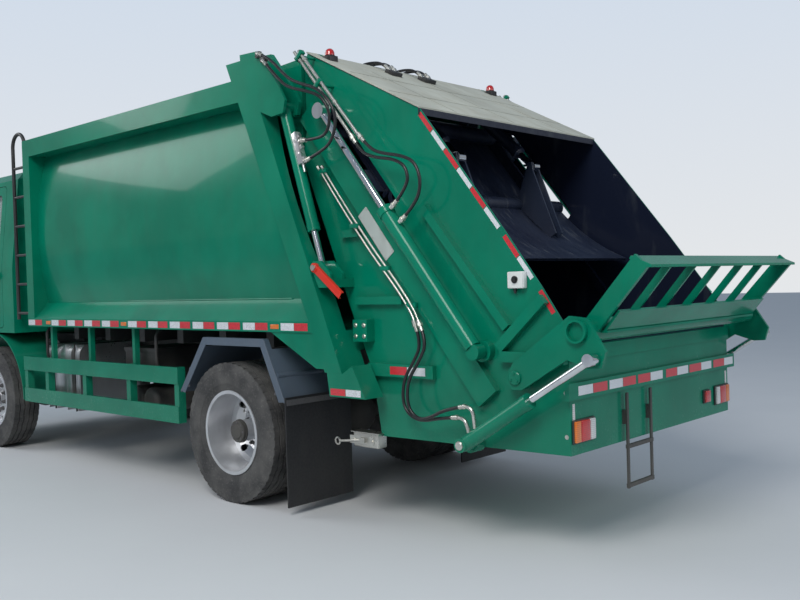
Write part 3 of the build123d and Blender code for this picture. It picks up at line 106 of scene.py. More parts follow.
def noise(tree, place, scale, detail=4.0, stretch=(1, 1, 1)):
    """A noise texture's value on Object coordinates, with the scale in features per metre."""
    mapping = tree.nodes.new("ShaderNodeMapping")
    mapping.inputs["Scale"].default_value = stretch
    texture = tree.nodes.new("ShaderNodeTexNoise")
    texture.inputs["Scale"].default_value = scale
    texture.inputs["Detail"].default_value = detail
    tree.links.new(place, mapping.inputs["Vector"])
    tree.links.new(mapping.outputs["Vector"], texture.inputs["Vector"])
    return texture.outputs["Fac"]


def spread(tree, value, low, high, out_low=0.0, out_high=1.0):
    """A value mapped from one range to another and clamped."""
    node = tree.nodes.new("ShaderNodeMapRange")
    node.inputs["From Min"].default_value = low
    node.inputs["From Max"].default_value = high
    node.inputs["To Min"].default_value = out_low
    node.inputs["To Max"].default_value = out_high
    tree.links.new(value, node.inputs["Value"])
    return node.outputs["Result"]


def arithmetic(tree, kind, a, b):
    """One Math node; a and b are sockets or numbers."""
    node = tree.nodes.new("ShaderNodeMath")
    node.operation = kind
    for socket, value in zip(node.inputs, (a, b)):
        if isinstance(value, (int, float)):
            socket.default_value = value
        else:
            tree.links.new(value, socket)
    return node.outputs["Value"]


def mixed(tree, share, first, second):
    """A colour mixed from two; each is a socket or an RGB tuple.
    A Mix node has sockets for each data type: inputs 6 and 7 and output 2 are its colours."""
    node = tree.nodes.new("ShaderNodeMix")
    node.data_type = "RGBA"
    tree.links.new(share, node.inputs["Factor"])
    for socket, value in ((node.inputs[6], first), (node.inputs[7], second)):
        if isinstance(value, tuple):
            socket.default_value = (*value, 1)
        else:
            tree.links.new(value, socket)
    return node.outputs[2]


def bump(tree, shader, height, strength, distance=0.001):
    """Gives the shader a bump from a height."""
    node = tree.nodes.new("ShaderNodeBump")
    node.inputs["Strength"].default_value = strength
    node.inputs["Distance"].default_value = distance
    tree.links.new(height, node.inputs["Height"])
    tree.links.new(node.outputs["Normal"], shader.inputs["Normal"])


def axis_of(tree, place, axis):
    """One coordinate of a vector socket."""
    node = tree.nodes.new("ShaderNodeSeparateXYZ")
    tree.links.new(place, node.inputs["Vector"])
    return node.outputs[axis]


print("node helpers ready")

# %% [markdown]
# Most surfaces share the same recipe, so one function builds them. `soil` is the colour of the dust, `low` says how
# much of it lies near the road, and `patches` how much is scattered everywhere. Roughness follows the soil, because
# dust is dull and the clean coat is not.

# %% The shared recipe
DUST_TOP = 1.25      # metres above the road where the road dust begins
DUST_FULL = 0.15     # and where it is thickest
VARIETY = 0.12       # how far the colour strays from its mean, as a share


def finish(name, colour, rough, soil=(0.16, 0.15, 0.13), low=0.0, patches=0.06, metal=0.0, coat=0.0,
           grain=0.0, grain_scale=400.0, inner=None):
    """A paint, plastic or metal with colour variation, dust that thickens near the road, and a fine bump.
    inner(tree, place) gives a share that is coloured dark navy instead."""
    material, tree, shader, place = new_material(name)
    height = axis_of(tree, place, "Z")
    broad = noise(tree, place, 2.2, 6.0)
    streaks = noise(tree, place, 9.0, 5.0, stretch=(1, 1, 0.22))
    near_road = spread(tree, height, DUST_TOP, DUST_FULL, 0.0, low)
    scattered = spread(tree, streaks, 0.45, 0.8, 0.0, patches)
    dust = arithmetic(tree, "MULTIPLY", near_road, spread(tree, broad, 0.3, 0.65, 0.35, 1.0))
    dust = arithmetic(tree, "MINIMUM", arithmetic(tree, "ADD", dust, scattered), 0.95)
    deep = tuple(c * (1 - VARIETY) for c in colour)
    light = tuple(min(1, c * (1 + VARIETY)) for c in colour)
    body_colour = mixed(tree, spread(tree, broad, 0.35, 0.65), deep, light)
    shown = mixed(tree, dust, body_colour, soil)
    if inner:
        worn = mixed(tree, spread(tree, streaks, 0.55, 0.75), (0.010, 0.014, 0.030), (0.035, 0.042, 0.055))
        shown = mixed(tree, inner(tree, place), shown, worn)
    tree.links.new(shown, shader.inputs["Base Color"])
    fine = noise(tree, place, 60.0, 3.0)
    gloss = spread(tree, fine, 0.3, 0.7, rough * 0.85, rough * 1.15)
    rougher = arithmetic(tree, "ADD", gloss, arithmetic(tree, "MULTIPLY", dust, 0.55))
    tree.links.new(arithmetic(tree, "MINIMUM", rougher, 0.95), shader.inputs["Roughness"])
    shader.inputs["Metallic"].default_value = metal
    if coat:
        shader.inputs["Coat Weight"].default_value = coat
        shader.inputs["Coat Roughness"].default_value = 0.05
        shader.inputs["Specular IOR Level"].default_value = 0.12
    if grain:
        bump(tree, shader, noise(tree, place, grain_scale, 3.0), grain)
    return material


GREEN = (0.0004, 0.180, 0.104)
GLOSS = dict(rough=0.22, low=0.12, patches=0.04, coat=0.25, grain=0.03, grain_scale=90.0)
finishes = {
    "green_paint": finish("green_paint", GREEN, **GLOSS),
    "frame_black": finish("frame_black", (0.018, 0.018, 0.020), 0.45, low=0.55, patches=0.2, grain=0.15),
    "guard_grey": finish("guard_grey", (0.075, 0.105, 0.145), 0.42, low=0.3, patches=0.1, grain=0.1),
    # The pale beige is painted glare: it stands in for sun washing out the hood's green paint.
    "roof_beige": finish("roof_beige", (0.30, 0.31, 0.255), 0.6, soil=(0.22, 0.20, 0.15), patches=0.5, grain=0.2),
    "steel_grey": finish("steel_grey", (0.14, 0.14, 0.15), 0.55, low=0.5, patches=0.3, metal=0.6, grain=0.4),
    "rim_silver": finish("rim_silver", (0.66, 0.67, 0.69), 0.30, low=0.10, patches=0.2, metal=0.75, grain=0.1),
    "rubber": finish("rubber", (0.007, 0.008, 0.011), 0.62, low=0.12, patches=0.05, grain=0.3),
    "black_plastic": finish("black_plastic", (0.014, 0.014, 0.015), 0.42, low=0.3, patches=0.1, grain=0.25),
    "tank_aluminium": finish("tank_aluminium", (0.66, 0.67, 0.69), 0.28, low=0.2, patches=0.15, metal=0.9),
    "interior_dark": finish("interior_dark", (0.05, 0.05, 0.056), 0.85, grain=0.5, grain_scale=900.0),
    "zinc": finish("zinc", (0.62, 0.61, 0.56), 0.3, metal=0.95, patches=0.1),
    "red_paint": finish("red_paint", (0.62, 0.03, 0.015), 0.35, patches=0.12, coat=0.4),
    "white_paint": finish("white_paint", (0.66, 0.68, 0.66), 0.35, patches=0.2),
    "cover_grey": finish("cover_grey", (0.42, 0.47, 0.44), 0.4, patches=0.4),
    "hose_rubber": finish("hose_rubber", (0.012, 0.012, 0.014), 0.33, patches=0.05, grain=0.25, grain_scale=700.0),
    "valve_silver": finish("valve_silver", (0.60, 0.60, 0.60), 0.32, metal=0.9, patches=0.15),
}
print(len(finishes), "finishes from the shared recipe")

# %% [markdown]
# The packer and the hopper's inside are coloured dark navy, scraped by years of refuse down to dull steel along their
# length.
# The chrome rods are nearly mirrors with a film of oil. Both could be one flat value each, but it is the streaks that
# tell which way the metal moves.

# %% Worn navy and chrome
def scraped_navy():
    """A dark navy colour, scraped to dull steel in streaks."""
    material, tree, shader, place = new_material("inner_dark")
    scrape = noise(tree, place, 7.0, 8.0, stretch=(1, 5, 0.35))
    blotch = noise(tree, place, 1.6, 5.0)
    paint = mixed(tree, spread(tree, blotch, 0.3, 0.7), (0.009, 0.013, 0.030), (0.022, 0.032, 0.058))
    worn = spread(tree, scrape, 0.6, 0.74, 0.0, 0.5)
    tree.links.new(mixed(tree, worn, paint, (0.13, 0.14, 0.15)), shader.inputs["Base Color"])
    tree.links.new(spread(tree, scrape, 0.35, 0.75, 0.30, 0.6), shader.inputs["Roughness"])
    bump(tree, shader, scrape, 0.12)
    return material


def chrome():
    """A polished rod with an oily smear along it."""
    material, tree, shader, place = new_material("chrome_rod")
    smear = noise(tree, place, 14.0, 4.0, stretch=(1, 1, 0.2))
    tree.links.new(mixed(tree, spread(tree, smear, 0.4, 0.7), (0.78, 0.79, 0.81), (0.62, 0.63, 0.65)),
                   shader.inputs["Base Color"])
    tree.links.new(spread(tree, smear, 0.35, 0.7, 0.05, 0.16), shader.inputs["Roughness"])
    shader.inputs["Metallic"].default_value = 1.0
    return material


finishes.update(inner_dark=scraped_navy(), chrome_rod=chrome())
print("worn navy and chrome made")

# %% [markdown]
# A window could be left as an opening, but glass tints what is behind it and mirrors the sky, so it transmits light.
# A lamp's lens is lit by its moulded prisms, so it is an opaque plastic with a grid of small cells as bump, which is
# quicker to render than real refraction.

# %% Glass and lenses
GLASS_IOR = 1.45
PRISMS_PER_METRE = 95.0


def clear(name, colour, rough=0.03, through=0.9):
    """Window glass or a clear cover, a little uneven in colour where dust lies."""
    material, tree, shader, place = new_material(name)
    dusty = noise(tree, place, 6.0, 4.0)
    tree.links.new(mixed(tree, spread(tree, dusty, 0.4, 0.7), colour, tuple(c * 0.9 for c in colour)),
                   shader.inputs["Base Color"])
    shader.inputs["Roughness"].default_value = rough
    shader.inputs["Transmission Weight"].default_value = through
    shader.inputs["IOR"].default_value = GLASS_IOR
    return material


def lens(name, colour):
    """A moulded lens: a saturated plastic with a grid of small prisms as bump, glossy outside."""
    material, tree, shader, place = new_material(name)
    texture = tree.nodes.new("ShaderNodeTexVoronoi")
    texture.inputs["Scale"].default_value = PRISMS_PER_METRE
    texture.inputs["Randomness"].default_value = 0.0
    tree.links.new(place, texture.inputs["Vector"])
    shade = spread(tree, texture.outputs["Distance"], 0.1, 0.6)
    tree.links.new(mixed(tree, shade, colour, tuple(c * 0.62 for c in colour)), shader.inputs["Base Color"])
    shader.inputs["Roughness"].default_value = 0.16
    shader.inputs["Coat Weight"].default_value = 1.0
    bump(tree, shader, texture.outputs["Distance"], 0.35, 0.002)
    return material


finishes.update({
    "window_glass": clear("window_glass", (0.60, 0.68, 0.66)),
    "lamp_clear": clear("lamp_clear", (0.86, 0.87, 0.88), 0.05, 0.75),
    "red_lens": lens("red_lens", (0.62, 0.012, 0.010)),
    "amber_lens": lens("amber_lens", (0.85, 0.20, 0.012)),
    "white_lens": lens("white_lens", (0.74, 0.74, 0.72)),
})
print(len(finishes), "finishes in all")

# %% [markdown]
# The hopper's one sheet of metal is coloured dark navy inside and green outside. The share of navy comes from where a
# point is: between the side plates' inner faces, in front of the rear wall and above the bottom plate. The tailgate's
# roof is pale beige above, which is painted glare standing in for sun on its green paint, and navy below, so there the
# test is on which side of the sheet's middle plane a point lies.

# %% Two-sided paints
HOPPER_HALF_Y = 0.990      # between the side plates' faces
HOPPER_REAR_X = -3.712     # in the rear wall
HOPPER_FLOOR_Z = 0.618     # in the bottom plate
ROOF_SLOPE = 0.5242        # the roof sheet's middle plane is z = ROOF_SLOPE x + ROOF_LEVEL_Z
ROOF_LEVEL_Z = 4.0235


def in_hopper(tree, place):
    """1 on the hopper's inner faces and 0 outside."""
    across = arithmetic(tree, "ABSOLUTE", axis_of(tree, place, "Y"), 0)
    share = arithmetic(tree, "LESS_THAN", across, HOPPER_HALF_Y)
    for axis, limit in (("X", HOPPER_REAR_X), ("Z", HOPPER_FLOOR_Z)):
        beyond = arithmetic(tree, "GREATER_THAN", axis_of(tree, place, axis), limit)
        share = arithmetic(tree, "MULTIPLY", share, beyond)
    return share


def under_roof(tree, place):
    """1 below the roof sheet's middle plane and 0 above."""
    level = arithmetic(tree, "MULTIPLY", axis_of(tree, place, "X"), ROOF_SLOPE)
    height = arithmetic(tree, "SUBTRACT", axis_of(tree, place, "Z"), level)
    return arithmetic(tree, "LESS_THAN", height, ROOF_LEVEL_Z)


finishes["hopper_paint"] = finish("hopper_paint", GREEN, inner=in_hopper, **GLOSS)
# Its pale beige top is painted glare, standing in for sun washing out the hood's green paint.
finishes["roof_glare_paint"] = finish("roof_glare_paint", (0.44, 0.45, 0.385), 0.6, soil=(0.34, 0.32, 0.25), patches=0.5,
                                grain=0.2, inner=under_roof)
print("two-sided paints made")

# %% [markdown]
# Tyre rubber is black when new and grey in use, because road dust stays in its pores. Two noises do that: a broad
# one for the patches and a fine one for specks of dried mud. The fine one is the bump as well.

# %% Tyre finish
def dusty_rubber():
    """Black rubber, greyed in patches and specked with dried mud."""
    material, tree, shader, place = new_material("tyre_rubber")
    patchy = noise(tree, place, 7.0, 6.0)
    speck = noise(tree, place, 60.0, 4.0)
    grey = mixed(tree, spread(tree, patchy, 0.35, 0.68), (0.036, 0.036, 0.037), (0.090, 0.088, 0.084))
    tree.links.new(mixed(tree, spread(tree, speck, 0.55, 0.8, 0.0, 0.55), grey, (0.17, 0.165, 0.15)),
                   shader.inputs["Base Color"])
    shader.inputs["Roughness"].default_value = 0.82
    bump(tree, shader, speck, 0.25)
    return material


finishes["tyre_rubber"] = dusty_rubber()
print("tyre finish made")

# %% [markdown]
# ## Dressing the CAD nodes
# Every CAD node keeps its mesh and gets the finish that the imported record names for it. The assignment is one loop
# over the record's subparts, so a node that is added later is dressed as well.

# %% Assign the finishes
slot_of_node = {part["node"]: part["material_slot"] for part in frame["record"]["subparts"]}
for name, node in nodes.items():
    node.data.materials.clear()
    node.data.materials.append(finishes[slot_of_node[name]])
nodes["tailgate_shell"].data.materials[0] = finishes["hopper_paint"]
# The hood gets the painted glare beige on its upper face.
nodes["tailgate_hood"].data.materials[0] = finishes["roof_glare_paint"]
print("dressed", len(nodes), "nodes in", len(set(slot_of_node.values())), "finishes")

# %% [markdown]
# ## A small workshop
# Each new piece starts as one of a few bmesh forms: a box, a bar between two points, a rod, or a spun profile. They
# could be objects that are moved and scaled, but they are made in place, because a finished piece sits at the origin
# with its place in its mesh. `piece` turns a bmesh into an object, gives it a finish, and lets it ride on its body.

# %% Forms
def box_form(form, x, y, z):
    """A box from three pairs of limits, in metres."""
    size = Matrix.Diagonal((abs(x[1] - x[0]), abs(y[1] - y[0]), abs(z[1] - z[0]), 1))
    place = Matrix.Translation(((x[0] + x[1]) / 2, (y[0] + y[1]) / 2, (z[0] + z[1]) / 2))
    return bmesh.ops.create_cube(form, size=1, matrix=place @ size)["verts"]


def towards(direction, side=(0, 1, 0)):
    """A rotation whose Z points along direction and whose Y stays as near side as it can."""
    z = Vector(direction).normalized()
    x = Vector(side).cross(z)
    x = x.normalized() if x.length > 1e-4 else Vector((1, 0, 0)).cross(z).normalized()
    return Matrix((x, z.cross(x), z)).transposed().to_4x4()


def rod_form(form, start, end, radius, sides=20, tip=None):
    """A round rod between two points, or a cone where tip is the radius at its end."""
    start, end = Vector(start), Vector(end)
    place = Matrix.Translation((start + end) / 2) @ towards(end - start)
    made = bmesh.ops.create_cone(form, cap_ends=True, segments=sides, radius1=radius,
                                 radius2=radius if tip is None else tip, depth=(end - start).length, matrix=place)
    return made["verts"]


def bar_form(form, start, end, width, thick, side=(0, 1, 0)):
    """A flat bar between two points; width lies along side."""
    start, end = Vector(start), Vector(end)
    size = Matrix.Diagonal((thick, width, (end - start).length, 1))
    place = Matrix.Translation((start + end) / 2) @ towards(end - start, side)
    return bmesh.ops.create_cube(form, size=1, matrix=place @ size)["verts"]


def spin_form(form, profile, centre, steps, axis=(0, 1, 0)):
    """A closed profile of (distance along the axis, radius) points, spun fully round an axis through centre."""
    axis = Vector(axis).normalized()
    out = Vector((0, 0, 1)) if abs(axis.z) < 0.9 else Vector((1, 0, 0))
    out = (out - axis * out.dot(axis)).normalized()
    verts = [form.verts.new(Vector(centre) + axis * along + out * radius) for along, radius in profile]
    edges = [form.edges.new((a, b)) for a, b in zip(verts, verts[1:] + verts[:1])]
    bmesh.ops.spin(form, geom=verts + edges, cent=centre, axis=axis, angle=2 * pi, steps=steps, use_merge=True)
    return form


def both_sides(form):
    """Adds the form's mirror image on the truck's other side."""
    bmesh.ops.mirror(form, geom=form.verts[:] + form.edges[:] + form.faces[:], axis="Y", merge_dist=0)
    return form


SHARP = radians(35)


def soften(form, width, segments=2, edges=None):
    """Rounds the given edges, or every sharp edge."""
    if edges is None:
        edges = [e for e in form.edges if len(e.link_faces) == 2 and e.calc_face_angle(0) > SHARP]
    bmesh.ops.bevel(form, geom=edges, offset=width, offset_type="OFFSET", affect="EDGES", segments=segments,
                    profile=0.5, material=-1, clamp_overlap=True)
    return form


print("forms: box, rod, bar, spin")


def piece(name, form, finish_name, body, smooth=35):
    """Makes the object, with faces outwards, smooth shading below an angle, its finish and its body.
    A piece that bends between two bodies gets none."""
    bmesh.ops.recalc_face_normals(form, faces=form.faces)
    for face in form.faces:
        face.smooth = True
    for edge in form.edges:
        edge.smooth = edge.calc_face_angle(pi) < radians(smooth) if len(edge.link_faces) == 2 else False
    mesh = bpy.data.meshes.new(name)
    form.to_mesh(mesh)
    form.free()
    mesh.materials.append(finishes[finish_name])
    item = bpy.data.objects.new(name, mesh)
    scene.collection.objects.link(item)
    if body:
        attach(item, body)
    return item


# %% [markdown]
# Bolts come again and again, and so do tubes along a bent line. A curve object with a bevel depth would draw a tube
# too, but a mesh can ride on a body. So the line is a NURBS spline of order 3 with a few control points, read back as
# points, and the tube is a ring of edges that is extruded from each point to the next.

# %% Bolts, splines and tubes
OUT = (0, 1, 0)            # outwards on the truck's left side
SPLINE_STEPS = 9           # points between two control points


def bolt_form(form, at, out, size=0.010, high=0.007):
    """A hexagon head on its washer, standing out of a surface."""
    at, out = Vector(at), Vector(out).normalized()
    rod_form(form, at - out * 0.001, at + out * 0.0018, size * 1.35, 14)
    rod_form(form, at, at + out * high, size, 6)


def centreline(points):
    """Points along the NURBS spline that has the route's points as its control points."""
    curve = bpy.data.curves.new("route", "CURVE")
    curve.dimensions = "3D"
    spline = curve.splines.new("NURBS")
    spline.points.add(len(points) - 1)
    for control, point in zip(spline.points, points):
        control.co = (*point, 1)
    spline.order_u = 3
    spline.use_endpoint_u = True
    spline.resolution_u = SPLINE_STEPS
    holder = bpy.data.objects.new("route", curve)
    line = bpy.data.meshes.new_from_object(holder)
    path = [vert.co.copy() for vert in line.vertices]
    bpy.data.meshes.remove(line)
    bpy.data.objects.remove(holder)
    bpy.data.curves.remove(curve)
    return path


def tube_form(form, path, radius, sides=14):
    """A round tube along a path, its ring turned as little as possible from one point to the next."""
    places = []
    side = Vector(OUT)
    for k, at in enumerate(path):
        along = (path[min(k + 1, len(path) - 1)] - path[max(k - 1, 0)]).normalized()
        side = (side - along * side.dot(along)).normalized()
        turned = Matrix((side, along.cross(side), along)).transposed().to_4x4()
        places.append(Matrix.Translation(at) @ turned)
    turns = [2 * pi * step / sides for step in range(sides)]
    verts = [form.verts.new(places[0] @ Vector((radius * cos(t), radius * sin(t), 0))) for t in turns]
    ring = [form.edges.new(pair) for pair in zip(verts, verts[1:] + verts[:1])]
    bmesh.ops.contextual_create(form, geom=ring)
    for before, after in zip(places, places[1:]):
        grown = bmesh.ops.extrude_edge_only(form, edges=ring)["geom"]
        ring = [item for item in grown if isinstance(item, bmesh.types.BMEdge)]
        fresh = [item for item in grown if isinstance(item, bmesh.types.BMVert)]
        bmesh.ops.transform(form, matrix=after @ before.inverted(), verts=fresh)
    bmesh.ops.contextual_create(form, geom=ring)
    return form


print("bolts, splines and tubes")

# %% [markdown]
# ## Tyres
# The CAD tyres are plain bands, which is right for collision. The real ones have a road tread: four zigzag grooves
# round the crown, sipes across the shoulders, and a sidewall with raised rings, all dusted pale grey. The carcass is
# a spun profile with the grooves in it, and the shoulder lugs are one small block, copied round the wheel.

# %% Tyre measures
TYRE_R = 0.506
BEAD_R = 0.2905
front_low, front_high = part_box("front_left_tyre")
rear_low, rear_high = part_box("rear_left_tyres")
TYRE_WIDTH = front_high.y - front_low.y
AXLE_Z = (front_low.z + front_high.z) / 2
FRONT_X = (front_low.x + front_high.x) / 2
REAR_X = (rear_low.x + rear_high.x) / 2
FRONT_Y = (front_low.y + front_high.y) / 2
TWIN_YS = (rear_low.y + TYRE_WIDTH / 2, rear_high.y - TYRE_WIDTH / 2)
print("tyre width", round(TYRE_WIDTH, 4), "twins at", [round(y, 3) for y in TWIN_YS])

# %% Carcass and tread
GROOVES = (-0.072, -0.026, 0.026, 0.072)
GROOVE_HALF = 0.0055
GROOVE_DEPTH = 0.014
ZIGZAG = 0.0035                      # how far a groove swings to each side
TREAD_STEPS = 96                     # faces round the crown, two to a lug
TREAD_HALF, TREAD_DEPTH = 0.084, 0.022
LUG = (0.043, 0.037, 0.0195)         # along the road, across it, and high
LUG_Y, LUG_SUNK = 0.104, 0.011


def carcass_profile():
    """The outline of one tyre as (y, radius), from bead to bead, with the tread's grooves and the sidewall's rings."""
    half = TYRE_WIDTH / 2 - 0.0012
    crown = TYRE_R - 0.0008
    side = [(half * 0.76, BEAD_R), (half * 0.80, BEAD_R + 0.014), (half * 0.90, BEAD_R + 0.040),
            (half * 0.955, BEAD_R + 0.062), (half * 0.972, BEAD_R + 0.0625), (half * 0.978, BEAD_R + 0.067),
            (half * 0.985, BEAD_R + 0.070), (half, BEAD_R + 0.106), (half * 0.994, BEAD_R + 0.134),
            (half * 0.965, BEAD_R + 0.158), (half * 0.968, BEAD_R + 0.161), (half * 0.955, BEAD_R + 0.165),
            (half * 0.930, BEAD_R + 0.180), (half * 0.925, crown - 0.020), (half * 0.90, crown - 0.006)]
    top = []
    for groove in GROOVES:
        top += [(groove - GROOVE_HALF, 0), (groove - GROOVE_HALF * 0.6, GROOVE_DEPTH),
                (groove + GROOVE_HALF * 0.6, GROOVE_DEPTH), (groove + GROOVE_HALF, 0)]
    top = [(y, crown - 0.004 * (abs(y) / half) ** 2 - deep) for y, deep in top]
    left = [(-y, r) for y, r in side]
    inner = [(half * 0.72, BEAD_R + 0.002), (half * 0.90, BEAD_R + 0.11), (half * 0.80, crown - 0.045),
             (-half * 0.80, crown - 0.045), (-half * 0.90, BEAD_R + 0.11), (-half * 0.72, BEAD_R + 0.002)]
    return left + top + side[::-1] + inner


def tyre_form(form, x, y):
    """One tyre at its place, with zigzag grooves and a lug between each pair of shoulder sipes."""
    first = len(form.verts)
    spin_form(form, carcass_profile(), (x, y, AXLE_Z), TREAD_STEPS)
    form.verts.ensure_lookup_table()
    for vert in form.verts[first:]:
        across = vert.co.y - y
        radius = hypot(vert.co.x - x, vert.co.z - AXLE_Z)
        if radius > TYRE_R - TREAD_DEPTH and abs(across) < TREAD_HALF:
            turn = atan2(vert.co.z - AXLE_Z, vert.co.x - x)
            vert.co.y += ZIGZAG * (1 if round(turn * TREAD_STEPS / (2 * pi)) % 4 < 2 else -1)
    lugs = TREAD_STEPS // 2
    for k in range(lugs):
        turn = Matrix.Rotation(2 * pi * (k + 0.5) / lugs, 4, "Y")
        for shoulder in (-LUG_Y, LUG_Y):
            place = Matrix.Translation((x, y, AXLE_Z)) @ turn @ Matrix.Translation((0, shoulder, TYRE_R - LUG_SUNK))
            bmesh.ops.create_cube(form, size=1, matrix=place @ Matrix.Diagonal((*LUG, 1)))
    return form


SIDES = (("left", 1), ("right", -1))
for side, sign in SIDES:
    form = bmesh.new()
    tyre_form(form, FRONT_X, sign * FRONT_Y)
    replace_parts(piece(f"front_{side}_road_tyre", form, "tyre_rubber", f"front_{side}_wheel", 30),
                f"front_{side}_tyre")
    form = bmesh.new()
    for y in TWIN_YS:
        tyre_form(form, REAR_X, sign * y)
    item = piece(f"rear_{side}_road_tyres", form, "tyre_rubber", f"rear_{side}_wheel", 30)
    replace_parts(item, f"rear_{side}_tyres")
    print(item.name, len(item.data.polygons), "faces")

# %% [markdown]
# ## Wheel nuts, hubs and valves
# Ten nuts hold each wheel. A nut is a six-sided cone on a round washer, and the stud stands out of it. The ring could
# be an array modifier round an empty, but a loop that turns one point about the axle keeps it all in one mesh. A
# flange with its own small bolts closes the hub, and a valve stem comes out through a hand hole.

# %% Nuts and hubs
NUTS = 10
NUT_CIRCLE = 0.1425
HUB_BOLTS = 8
# axle: x, disc face y, hub end y, hub radius
AXLES = {"front": (FRONT_X, FRONT_Y + 0.060, FRONT_Y + 0.111, 0.072),
         "rear": (REAR_X, 0.928, TWIN_YS[1] + 0.056, 0.078)}


def around(x, radius, turn, y):
    """A point on a circle about the axle."""
    return Vector((x + radius * cos(turn), y, AXLE_Z + radius * sin(turn)))


def wheel_fittings(form, sign, x, disc_y, hub_y, hub_radius):
    """Nuts with washers and studs on the disc, and the bolted cap on the hub."""
    out = Vector((0, sign, 0))
    for k in range(NUTS):
        at = around(x, NUT_CIRCLE, 2 * pi * (k + 0.5) / NUTS, sign * disc_y)
        rod_form(form, at - out * 0.002, at + out * 0.004, 0.0225, 20)
        rod_form(form, at + out * 0.003, at + out * 0.026, 0.0185, 6, 0.0160)
        rod_form(form, at + out * 0.025, at + out * 0.036, 0.0105, 10)
    for k in range(HUB_BOLTS):
        at = around(x, hub_radius - 0.013, 2 * pi * k / HUB_BOLTS, sign * hub_y)
        rod_form(form, at - out * 0.002, at + out * 0.007, 0.0085, 6)
    return form


VALVE_TURN = 0.9       # radians round the axle from the front
for axle, (x, disc_y, hub_y, hub_radius) in AXLES.items():
    for side, sign in SIDES:
        form = wheel_fittings(bmesh.new(), sign, x, disc_y, hub_y, hub_radius)
        piece(f"{axle}_{side}_nuts", form, "steel_grey", f"{axle}_{side}_wheel")
        form = bmesh.new()
        centre = (x, sign * hub_y, AXLE_Z)
        edge = hub_radius + 0.001
        profile = [(-0.030, edge - 0.004), (-0.030, edge + 0.007), (-0.020, edge + 0.007), (-0.020, edge),
                   (0.001, edge), (0.003, edge - 0.003), (0.003, edge - 0.024), (0.012, edge - 0.030),
                   (0.014, 0.012), (0.014, 0.001), (-0.001, 0.001)]
        spin_form(form, [(sign * along, radius) for along, radius in profile], centre, 40)
        piece(f"{axle}_{side}_hub_cap", form, "frame_black", f"{axle}_{side}_wheel", 30)
        form = bmesh.new()
        foot = around(x, 0.205, VALVE_TURN, sign * (disc_y - 0.002))
        bend = foot + Vector((0, sign * 0.035, 0))
        tip = around(x, 0.150, VALVE_TURN, sign * (disc_y + 0.075))
        rod_form(form, foot, bend, 0.0045, 10)
        rod_form(form, bend, bend + (tip - bend) * 0.8, 0.0045, 10)
        rod_form(form, bend + (tip - bend) * 0.8, tip, 0.0065, 10)
        piece(f"{axle}_{side}_valve", form, "zinc", f"{axle}_{side}_wheel")
print("nuts, hub caps and valves on four wheels")

# %% [markdown]
# ## Marking tape
# The white and red blocks are retro-reflective tape: a plastic film over a honeycomb of tiny prisms. A hexagon
# pattern comes from a Voronoi texture with little randomness. The blocks could be painted by a texture, but each is a
# thin plate, because tape has an edge that catches light and a plate can be moved alone. The blocks are listed by
# where they start, so pairs can be made in a loop.

# %% Tape finish
CELLS_PER_METRE = 130.0


def tape(name, colour):
    """A reflective film over a honeycomb, duller along the cells' edges and where dust lies."""
    material, tree, shader, place = new_material(name)
    comb = tree.nodes.new("ShaderNodeTexVoronoi")
    comb.feature = "DISTANCE_TO_EDGE"
    comb.inputs["Scale"].default_value = CELLS_PER_METRE
    comb.inputs["Randomness"].default_value = 0.25
    tree.links.new(place, comb.inputs["Vector"])
    edge = spread(tree, comb.outputs["Distance"], 0.02, 0.09)
    dull = tuple(c * 0.72 for c in colour)
    dusty = spread(tree, noise(tree, place, 5.0, 5.0), 0.5, 0.75, 0.0, 0.35)
    face = mixed(tree, edge, dull, colour)
    tree.links.new(mixed(tree, dusty, face, tuple(0.6 * c + 0.06 for c in colour)), shader.inputs["Base Color"])
    shader.inputs["Roughness"].default_value = 0.28
    shader.inputs["Coat Weight"].default_value = 0.7
    bump(tree, shader, edge, 0.15)
    return material


finishes["tape_white"] = tape("tape_white", (0.70, 0.73, 0.76))
finishes["tape_red"] = tape("tape_red", (0.62, 0.018, 0.030))
TAPE_THICK = 0.0008
TAPE_HIGH = 0.05
print("tape finishes made")

# %% Tape on the lower side rails
# Pairs of a white and a red block, front first: where the first pair starts, how many pairs, and the pitch. The
# amber lamps stand between the groups.
RAIL_TAPE = ((2.095, 1, 0), (1.632, 4, 0.302), (0.308, 6, 0.305), (-1.628, 1, 0))
TAPE_LONG = 0.133
RAIL_FACE_Y = 1.22
RAIL_TAPE_Z = 1.2765
PAIR_GAP = 0.004
tapes = {"white": bmesh.new(), "red": bmesh.new()}
for first, pairs, pitch in RAIL_TAPE:
    for pair in range(pairs):
        start = first - pair * pitch
        for colour, x in (("white", start), ("red", start - TAPE_LONG - PAIR_GAP)):
            box_form(tapes[colour], (x - TAPE_LONG, x), (RAIL_FACE_Y, RAIL_FACE_Y + TAPE_THICK),
                     (RAIL_TAPE_Z - TAPE_HIGH / 2, RAIL_TAPE_Z + TAPE_HIGH / 2))
for name, form in tapes.items():
    piece(f"rail_tape_{name}", both_sides(form), f"tape_{name}", "chassis")
print(2 * sum(pairs for first, pairs, pitch in RAIL_TAPE), "blocks of tape a side")

# %% [markdown]
# The tailgate's tape sits on three surfaces: flat on the rear beam, along the sloping edge of each side plate, and on
# the low stiffener. Each has its own short list or loop, and all of it goes into one white and one red mesh.

